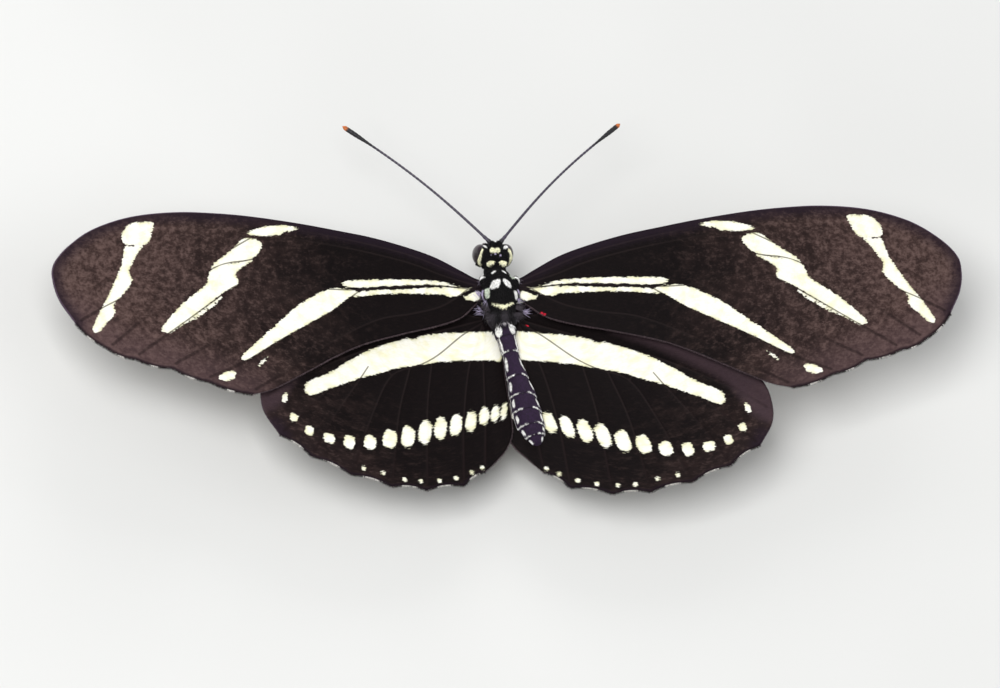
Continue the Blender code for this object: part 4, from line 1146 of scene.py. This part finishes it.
def body_tints(points):
    """Linear colour of skin and coat at each point of the trunk, worked out from the marks above."""
    tint = np.tile(tone(BLACK), (len(points), 1))

    def lay(weight, code):
        tint[:] = tint + (tone(code) - tint) * np.clip(weight, 0.0, 1.0)[:, None]

    y, z = points[:, 1], points[:, 2]
    hind_part = smoothstep(-2.45, -2.85, y) * smoothstep(-4.3, -3.6, y)
    lay(hind_part * 0.8 * (0.55 + 0.45 * np.cos(points[:, 0] * 5.0)), HIND_GREY)
    lay(smoothstep(-1.0, -2.3, z) * (y > -3.6) * 0.35, "#4a4448")
    share, angle, reach = abdomen_place(points)
    share = share - ring_slip(share, angle) / ABDOMEN_LENGTH
    on_abdomen = (share > 0.02) & (reach < ABDOMEN_REACH) & (y < ABDOMEN_FRONT)
    lay(on_abdomen * smoothstep(0.0, 0.12, share), PURPLE)
    turn = np.abs(angle)
    lay(on_abdomen * smoothstep(82.0, 100.0, turn) * 0.75, "#241a2b")
    lay(on_abdomen * smoothstep(128.0, 150.0, turn), BELLY)
    lay(on_abdomen * smoothstep(6.0, 2.0, np.abs(180.0 - turn)) * 0.7, "#5b5048")
    joint = np.min([np.abs(share - joint) for joint in ABDOMEN_JOINTS[1:-1]], axis=0) * ABDOMEN_LENGTH
    lay(on_abdomen * smoothstep(0.09, 0.0, joint) * 0.8, "#150e18")
    ragged = draw.normal(0.0, 0.018, len(points))
    waves = 0.022 * np.sin(y * 9.0 + angle * 0.21) + 0.018 * np.sin(y * 23.0 - angle * 0.33)
    lay(on_abdomen * smoothstep(-0.02, 0.03, abdomen_white(share, angle) + ragged + waves), WHITE)
    for line, widths, code in MARKS:
        lay(smoothstep(-0.03, 0.03, mark_depth(points, line, widths) + ragged), code)
    return tint


def trunk_spots(points):
    """Places on an unwrap of the trunk: round it one way and along it the other."""
    share, angle, _ = abdomen_place(points)
    turn = np.arctan2(points[:, 0], points[:, 2] + 0.35) / (2 * np.pi) + 0.5
    turn = np.where(points[:, 1] < ABDOMEN_FRONT, (angle + 180.0) / 360.0, turn)
    return np.column_stack((turn * 0.97, (points[:, 1] + 16.0) / 22.0 * 0.97))


def scattered(points, faces, number):
    """Random places on a surface of four-sided faces, with the surface's direction there."""
    quads = np.array([face for face in faces if len(face) == 4])
    corners = points[quads]
    normals = np.cross(corners[:, 2] - corners[:, 0], corners[:, 3] - corners[:, 1])
    areas = np.linalg.norm(normals, axis=1)
    pick = draw.choice(len(quads), size=number, p=areas / areas.sum())
    u, v = draw.uniform(0, 1, (2, number, 1))
    chosen = corners[pick]
    near_side = chosen[:, 0] * (1 - u) + chosen[:, 1] * u
    far_side = chosen[:, 3] * (1 - u) + chosen[:, 2] * u
    return near_side * (1 - v) + far_side * v, unit(normals[pick])


def in_eye(points, grow):
    """Which points lie within an eye, or that close to it."""
    result = np.zeros(len(points), bool)
    for side in SIDES.values():
        offset = (points - np.array(mirrored(EYE[0], side))) / (np.array(EYE[1]) + grow)
        result |= (offset**2).sum(axis=1) < 1.0
    return result


def make_coat(name, points, faces, number, keep, lengths, widths, lift, finish):
    """Locks over part of the trunk, combed back along the body and down its sides."""
    roots, normals = scattered(points, faces, number)
    wanted = keep(roots) & ~in_eye(roots, -0.02)
    roots, normals = roots[wanted], normals[wanted]
    comb = np.column_stack((roots[:, 0] * 0.25, np.full(len(roots), -1.0), np.full(len(roots), -0.25)))
    share, _, reach = abdomen_place(roots)
    nearest = np.clip((share * (len(ABDOMEN_MIDDLE) - 1)).astype(int), 0, len(ABDOMEN_MIDDLE) - 1)
    tail = (roots[:, 1] < ABDOMEN_COAT_FRONT) & (reach < ABDOMEN_REACH)
    comb[tail] = unit(np.gradient(ABDOMEN_MIDDLE, axis=0))[nearest][tail]
    comb += draw.normal(0.0, 0.16, comb.shape)
    flat = unit(comb - normals * np.einsum("ij,ij->i", comb, normals)[:, None])
    rise = (lift * draw.uniform(0.5, 1.5, len(roots)))[:, None]
    length = lengths(roots) * draw.uniform(0.7, 1.25, len(roots))
    runs = unit(flat + normals * rise) * length[:, None]
    wide = widths(roots) * draw.uniform(0.8, 1.2, len(roots))
    tints = body_tints(roots) * draw.uniform(0.75, 1.35, len(roots))[:, None]
    make_locks(name, roots - normals * 0.02, runs, wide, normals, tints, trunk_spots(roots), finish)


def make_trunk(finishes):
    points, faces = fused(skin_shapes(), 0.06, 4)
    tints = body_tints(points)
    make_piece("body_skin", points, faces, [finishes["skin"]],
               ["head", "prothorax", "thorax", "abdomen"], tints=tints)

    def on_head(p):
        return p[:, 1] > 2.55

    def on_thorax(p):
        return (p[:, 1] <= 2.75) & (p[:, 1] > -4.0)

    def on_tail(p):
        return p[:, 1] <= ABDOMEN_COAT_FRONT

    def thorax_length(p):
        long_behind = 0.30 * smoothstep(-2.3, -3.2, p[:, 1])
        return 0.20 + long_behind + 0.16 * smoothstep(0.2, -1.2, p[:, 2])

    make_coat("coat_of_head", points, faces, 60000, on_head,
              lambda p: np.full(len(p), 0.13) + 0.08 * (p[:, 2] < -1.0),
              lambda p: np.full(len(p), 0.05), 0.30, finishes["coat"])
    make_coat("coat_of_thorax", points, faces, 34000, on_thorax, thorax_length,
              lambda p: np.full(len(p), 0.07), 0.30,
              finishes["coat"])
    make_coat("coat_of_abdomen", points, faces, 26000, on_tail, lambda p: np.full(len(p), 0.15),
              lambda p: np.full(len(p), 0.085), 0.10, finishes["coat"])
    return points, faces


# Loose hairs: where each bunch grows, the way it points, its length, its spread and its number.
BUNCHES = (
    ((-2.00, -2.50, 0.10), (-1.0, 0.10, 0.02), 0.85, 0.50, 16, LILAC),
    ((2.15, -2.55, 0.15), (1.0, 0.10, 0.05), 0.85, 0.50, 16, LILAC),
    ((-1.25, -2.10, 0.35), (-1.0, -0.25, 0.0), 1.05, 0.35, 46, "#4f484f"),
    ((-1.15, -2.85, 0.25), (-1.0, -0.45, -0.02), 1.05, 0.35, 46, "#474147"),
    ((1.25, -2.10, 0.40), (1.0, -0.25, 0.0), 1.05, 0.35, 46, "#4f484f"),
    ((1.20, -2.85, 0.30), (1.0, -0.45, -0.02), 1.05, 0.35, 46, "#474147"),
    ((-2.40, -0.45, 0.34), (0.75, -1.0, 0.10), 0.85, 0.16, 16, LILAC),
    ((-1.10, -3.15, 0.20), (-0.8, -0.75, 0.0), 0.60, 0.40, 14, "#8f8894"),
    ((1.00, -3.20, 0.25), (0.8, -0.75, 0.0), 0.60, 0.40, 14, "#8f8894"),
    ((-1.62, -1.30, 0.50), (-0.5, -1.0, 0.05), 0.70, 0.30, 12, LILAC),
    ((1.55, -1.30, 0.55), (0.5, -1.0, 0.05), 0.70, 0.30, 12, LILAC),
    ((-1.75, 0.45, 0.55), (-0.9, -0.5, 0.1), 0.50, 0.35, 12, "#6d6472"),
    ((1.75, 0.45, 0.55), (0.9, -0.5, 0.1), 0.50, 0.35, 12, "#6d6472"),
    ((-0.35, 4.52, 0.30), (-0.2, 0.9, 0.5), 0.22, 0.45, 26, "#2c2a32"),
    ((0.45, 4.52, 0.30), (0.2, 0.9, 0.5), 0.22, 0.45, 26, "#2c2a32"),
)


def make_bunches(finish):
    """Loose hair that stands out from the trunk at the wing roots and over the face."""
    roots, runs, tints = [], [], []
    for start, way, length, spread, number, code in BUNCHES:
        roots.append(np.array(start) + draw.normal(0.0, 0.13, (number, 3)) * (1.0, 1.0, 0.5))
        turned = unit(np.array(way)) + draw.normal(0.0, spread, (number, 3)) * (1.0, 1.0, 0.45)
        runs.append(unit(turned) * (length * draw.uniform(0.6, 1.15, (number, 1))))
        tints.append(tone(code) * draw.uniform(0.6, 1.3, (number, 1)))
    roots, runs, tints = np.vstack(roots), np.vstack(runs), np.vstack(tints)
    lifts = np.tile((0.05, 0.02, 1.0), (len(roots), 1))
    make_locks("loose_hair", roots, runs, np.full(len(roots), 0.05), lifts, tints, trunk_spots(roots),
               finish)


def make_eyes(finish):
    for word, side in SIDES.items():
        points, faces = ball_shape(mirrored(EYE[0], side), EYE[1], 6, -EYE_TURN * side)
        outward = unit((points - np.array(mirrored(EYE[0], side))) / EYE[1])
        # Share of the way from the eye's outward side to its rim, where the painted lilac sheen goes.
        painted_sheen_rim = 1.0 - np.abs(outward @ unit(np.array((side, 0.3, 0.15))))
        make_piece("compound_eye_" + word, points, faces, [finish], ["eye_" + word],
                   {"painted_sheen_rim": painted_sheen_rim})


def antenna_line(side):
    root, tip = np.array(ANTENNA_SOCKET), np.array(ANTENNA_TIP)
    across = unit(np.cross(tip - root, (0.0, 0.0, 1.0)))
    shares = np.linspace(0.0, 1.0, ANTENNA_RINGS * 6 + 1)
    bow = np.sin(np.pi * shares)[:, None] * across * ANTENNA_BOW
    line = root + (tip - root) * shares[:, None] - bow
    line = np.vstack((np.linspace(ANTENNA_ROOT, line[0], 6)[:-1], line))
    shares = np.concatenate((np.zeros(5), shares))
    return line * (side, 1, 1), shares


def make_antennae(finish):
    """Two stout root joints, a shaft of short rings, and a slim club with a bare orange tip."""
    for word, side in SIDES.items():
        line, shares = antenna_line(side)
        club = smoothstep(0.80, 0.94, shares)
        radius = 0.135 + 0.115 * club - 0.02 * smoothstep(0.1, 0.5, shares)
        radius *= 1 - 0.75 * smoothstep(0.975, 1.0, shares) ** 2
        radius += 0.10 * np.exp(-((shares / 0.014) ** 2)) + 0.05 * np.exp(-(((shares - 0.03) / 0.012) ** 2))
        ring = (shares * ANTENNA_RINGS) % 1.0
        radius -= 0.022 * np.exp(-((np.minimum(ring, 1 - ring) / 0.13) ** 2))
        points, faces = tube_shape(line, radius, 20)
        along = np.concatenate((np.repeat(shares, 20), (0.0, 1.0)))
        shaft, pale, dark = (tone(code) for code in ("#3b3444", "#5f5868", "#121016"))
        rings = np.concatenate((np.repeat(ring, 20), (0.0, 0.0)))
        tint = shaft + (pale - shaft) * (smoothstep(0.55, 0.95, rings) * 0.8)[:, None]
        tint = tint + (dark - tint) * smoothstep(0.76, 0.84, along)[:, None]
        tint = tint + (tone("#1c1820") - tint) * smoothstep(0.02, 0.0, along)[:, None]
        tint = tint + (tone("#c46a2c") - tint) * smoothstep(0.965, 0.98, along)[:, None]
        make_piece("ringed_antenna_" + word, points, faces, [finish], ["antenna_" + word],
                   tints=tint)


def make_palps(finish, coat):
    """Upturned mouth feelers, shaggy with dark grey scales and paler hair beneath."""
    for word, side in SIDES.items():
        line = spline([mirrored(p, side) for p in PALP], 0.08)
        shares, _ = travelled(line)
        radii = np.interp(shares, np.linspace(0, 1, len(PALP)), PALP_RADII)
        points, faces = tube_shape(line, radii, 18)
        dark = tone("#2c2a30")
        make_piece("palp_core_" + word, points, faces, [finish], ["palp_" + word],
                   tints=np.tile(dark, (len(points), 1)))
        number = 1500
        share = draw.uniform(0.05, 1.0, number)
        centre = np.column_stack([np.interp(share, shares, line[:, k]) for k in range(3)])
        along = unit(np.gradient(line, axis=0))
        forward = unit(np.column_stack([np.interp(share, shares, along[:, k]) for k in range(3)]))
        turn = draw.uniform(0, 2 * np.pi, number)
        across = unit(np.cross(forward, (1.0, 0.0, 0.0)))
        other = np.cross(forward, across)
        outward = across * np.cos(turn)[:, None] + other * np.sin(turn)[:, None]
        roots = centre + outward * (np.interp(share, shares, radii) * 0.9)[:, None]
        runs = unit(forward + outward * draw.uniform(0.3, 0.75, (number, 1)))
        runs *= draw.uniform(0.14, 0.28, (number, 1))
        under = smoothstep(0.1, -0.7, outward[:, 2])[:, None]
        tints = dark * draw.uniform(0.6, 2.0, (number, 1)) * (1 - under) + tone("#b9b09a") * under
        spots = np.column_stack((share * 0.97, turn / (2 * np.pi) * 0.97))
        make_locks("palp_coat_" + word, roots, runs, np.full(number, 0.05), outward, tints, spots,
                   coat)


def make_tongue(finish):
    """The proboscis, wound like a watch spring under the head."""
    steps = 220
    line = [(0.0, 4.10, -1.30), (0.0, 4.02, -1.75), (0.0, 3.93, -2.30)]
    line = list(spline(line, 0.08))
    for k in range(1, steps + 1):
        share = k / steps
        turn = math.pi + 2 * math.pi * TONGUE_TURNS * share
        radius = 1.02 - 0.82 * share**0.9
        line.append((0.0, TONGUE_CENTRE[0] + radius * math.cos(turn),
                     TONGUE_CENTRE[1] + radius * math.sin(turn)))
    line = np.array(line)
    shares, _ = travelled(line)
    points, faces = tube_shape(line, 0.105 - 0.055 * shares, 14)
    ring = np.sin(shares * 900.0) * 0.5 + 0.5
    dark, pale = tone("#2e1c12"), tone("#5a3a24")
    tint = dark + np.outer(ring, pale - dark)
    make_piece("rolled_proboscis", points, faces, [finish], ["proboscis"],
               tints=np.vstack((np.repeat(tint, 14, axis=0), tint[:1], tint[-1:])))


def leg_line(kind, side):
    """A leg's middle line with eased joints, and its half thickness: femur, tibia and five short tarsal
    joints."""
    corners = [np.array(mirrored(p, side)) for p in LEGS[kind]]
    line, thick, part = [], [], []
    sizes = ((0.30, 0.20), (0.23, 0.15), (0.15, 0.13), (0.115, 0.085))
    for k, (a, b) in enumerate(zip(corners, corners[1:])):
        count = max(8, round(float(np.linalg.norm(b - a)) / 0.10))
        for step in range(count):
            share = step / count
            swell = 0.03 * math.sin(math.pi * min(1.0, share * 1.4))
            if k == 1:
                swell = 0.06 * math.sin(math.pi * share)
            if k == 3:
                swell = 0.022 * abs(math.sin(math.pi * 5 * share)) - 0.004
            line.append(a + (b - a) * share)
            thick.append(sizes[k][0] + (sizes[k][1] - sizes[k][0]) * share + swell)
            part.append(k + share)
    line, thick, part = np.array(line), np.array(thick), np.array(part)
    for _ in range(3):
        line[1:-1] = line[1:-1] * 0.5 + (line[2:] + line[:-2]) * 0.25
    return line, thick, part


def make_legs(finish, coat):
    for kind in LEGS:
        for word, side in SIDES.items():
            line, thick, part = leg_line(kind, side)
            # The tarsus lies along the floor on its last three joints.
            sole = line[:, 2] - thick
            line[:, 2] += np.where(sole < FLOOR, FLOOR - sole, 0.0)
            shapes = [tube_shape(line, thick, 14)]
            toe, way = line[-1], unit(line[-1] - line[-8])
            flat = unit(np.cross(way, (0.0, 0.0, 1.0)))
            spines = []
            if kind != "foreleg":
                for turn in (-1, 1):
                    bend = toe + way * 0.16 + flat * 0.10 * turn + (0, 0, 0.03)
                    point = toe + way * 0.26 + flat * 0.16 * turn - (0, 0, 0.07)
                    hook = spline([toe, bend, point], 0.03)
                    hook[:, 2] = np.maximum(hook[:, 2], FLOOR + 0.03)
                    shapes.append(tube_shape(hook, np.linspace(0.045, 0.012, len(hook)), 8))
            for k in range(0, len(line), 4):
                if part[k] < 2.0 or kind == "foreleg":
                    continue
                forward = unit(line[min(k + 1, len(line) - 1)] - line[max(k - 1, 0)])
                for turn in (-1, 1):
                    out = unit(np.cross(forward, (0.0, 0.0, 1.0))) * turn * 0.8 + np.array((0.0, 0.0, -0.35))
                    start = line[k] + out * thick[k] * 0.7
                    tip = start + unit(forward + out * 1.1) * 0.22
                    tip[2] = max(tip[2], FLOOR + 0.02)
                    spine = np.array((start, (start + tip) / 2, tip))
                    spines.append(tube_shape(spine, (0.022, 0.016, 0.005), 5))
            points, faces = joined(*shapes, *spines)
            dark, pale, light = (tone(code) for code in ("#241f24", "#8d8791", "#d8d4cc"))
            near = np.clip(part, 0, 4)
            knee = np.exp(-(((near - 2.0) / 0.10) ** 2))
            tint = dark + np.outer(np.clip(0.22 + 0.5 * knee, 0, 1), pale - dark)
            tint = tint + np.outer(knee * 0.8 if kind == "midleg" else knee * 0.4, light - dark)
            body = np.repeat(tint, 14, axis=0)
            rest = np.tile(dark, (len(points) - len(body), 1))
            tints = np.clip(np.vstack((body, rest)), 0.0, 1.0)
            make_piece(f"jointed_{kind}_{word}", points, faces, [finish], [f"{kind}_{word}"],
                       tints=tints)
            number = 1400 if kind != "foreleg" else 900
            pick = draw.integers(1, len(line) - 2, number)
            pick = pick[part[pick] < 3.1]
            forward = unit(line[pick + 1] - line[pick - 1])
            turn = draw.uniform(0, 2 * np.pi, len(pick))
            across = unit(np.cross(forward, (0.3, 0.2, 1.0)))
            outward = across * np.cos(turn)[:, None] + np.cross(forward, across) * np.sin(turn)[:, None]
            roots = line[pick] + outward * (thick[pick] * 0.92)[:, None]
            hair = np.where(part[pick] < 2.0, 0.20, 0.11) * draw.uniform(0.6, 1.3, len(pick))
            runs = unit(forward + outward * 0.28) * hair[:, None]
            tints = tint[pick] * draw.uniform(0.6, 1.7, (len(pick), 1))
            spots = np.column_stack((part[pick] / 4.2, turn / 6.4))
            make_locks(f"{kind}_coat_{word}", roots, runs, np.full(len(pick), 0.045), outward, tints, spots,
                       coat)


def make_wings(finishes):
    for kind in WINGS:
        weave = wing_weave(kind)
        measures = wing_measures(kind, weave[0])
        for word in SIDES:
            make_wing(kind, word, weave, measures, (finishes["wing upper"], finishes["wing under"]))
            make_fringe(kind, word, finishes["fringe"])


def make_camera():
    """The photograph's own viewing direction and framing, with a long lens that keeps both wings at one
    scale."""
    turn, tip, roll = (math.radians(angle) for angle in (VIEW_TURN, VIEW_TIP, VIEW_ROLL))
    back = np.array((-math.sin(turn), -math.cos(turn) * math.sin(tip), math.cos(turn) * math.cos(tip)))
    right = np.array((math.cos(turn), -math.sin(turn) * math.sin(tip), math.sin(turn) * math.cos(tip)))
    top = np.array((0.0, math.cos(tip), math.sin(tip)))
    right, top = right * math.cos(roll) - top * math.sin(roll), top * math.cos(roll) + right * math.sin(roll)
    target = right * VIEW_CENTRE[0] + top * VIEW_CENTRE[1]
    data = bpy.data.cameras.new("camera")
    data.sensor_width = SENSOR_WIDTH
    data.lens = SENSOR_WIDTH * VIEW_DISTANCE * PIXELS_PER_MM / PHOTO_WIDTH
    data.clip_start = 0.01
    data.clip_end = 100.0
    camera = bpy.data.objects.new("camera", data)
    basis = Matrix((right, top, back)).transposed().to_4x4()
    camera.matrix_world = Matrix.Translation(Vector(place(target + back * VIEW_DISTANCE))) @ basis
    bpy.context.scene.collection.objects.link(camera)
    bpy.context.scene.camera = camera


def make_light(name, place_at, size, power):
    """A soft square lamp that faces the animal."""
    data = bpy.data.lights.new(name, "AREA")
    data.shape = "SQUARE"
    data.size = size
    data.energy = power
    lamp = bpy.data.objects.new(name, data)
    lamp.location = place_at
    lamp.rotation_euler = (Vector((0, 0, 0.005)) - Vector(place_at)).to_track_quat("-Z", "Y").to_euler()
    bpy.context.scene.collection.objects.link(lamp)


def make_studio():
    mesh = bpy.data.meshes.new("floor")
    reach = 3.0
    mesh.from_pydata([(-reach, -reach, 0), (reach, -reach, 0), (reach, reach, 0), (-reach, reach, 0)], [],
                     [(0, 1, 2, 3)])
    mesh.materials.append(floor_finish())
    ground = bpy.data.objects.new("floor", mesh)
    bpy.context.scene.collection.objects.link(ground)
    make_light("key lamp", (-0.25, -0.10, 0.55), 0.30, 3.0)
    make_light("fill lamp", (0.50, -0.20, 0.40), 0.50, 0.9)
    make_light("rim lamp", (0.10, 0.60, 0.35), 0.40, 1.2)
    world = bpy.data.worlds.new("studio")
    world.use_nodes = True
    back = world.node_tree.nodes["Background"]
    back.inputs["Color"].default_value = linear("#f2f4f6")
    back.inputs["Strength"].default_value = 0.38
    bpy.context.scene.world = world
    bpy.context.scene.view_settings.view_transform = "Standard"


def main():
    make_camera()
    make_studio()
    hair = {"Roughness": 0.72, "IOR": 1.5, "Sheen_Weight": 0.05, "Specular_IOR_Level": 0.14}
    finishes = {
        "wing upper": wing_finish("Upper wing scales", True),
        "wing under": wing_finish("Under wing scales", False),
        # Flat overlapping hair scales, matt with a faint sheen.
        "fringe": tinted_finish("Fringe scales", 0.05, 0.01, **hair),
        # Hard skin under short scales: the grain stands for the scales' sockets.
        "skin": tinted_finish("Scaled body skin", 0.07, 0.03, **hair),
        "coat": tinted_finish("Body hair and scales", 0.05, 0.01, **hair),
        # Bare and thinly scaled chitin: smooth, brown-black, with a satin gloss.
        "shaft": tinted_finish("Ringed antenna chitin", 0.06, 0.012, Roughness=0.45, IOR=1.56,
                               Specular_IOR_Level=0.4),
        "leg": tinted_finish("Scaled leg chitin", 0.06, 0.02, Roughness=0.55, IOR=1.56,
                             Specular_IOR_Level=0.35),
        "tongue": tinted_finish("Proboscis chitin", 0.04, 0.01, Roughness=0.35, IOR=1.56,
                                Specular_IOR_Level=0.5),
    }
    make_wings(finishes)
    make_trunk(finishes)
    make_bunches(finishes["coat"])
    make_eyes(eye_finish())
    make_antennae(finishes["shaft"])
    make_palps(finishes["skin"], finishes["coat"])
    make_tongue(finishes["tongue"])
    make_legs(finishes["leg"], finishes["coat"])


main()
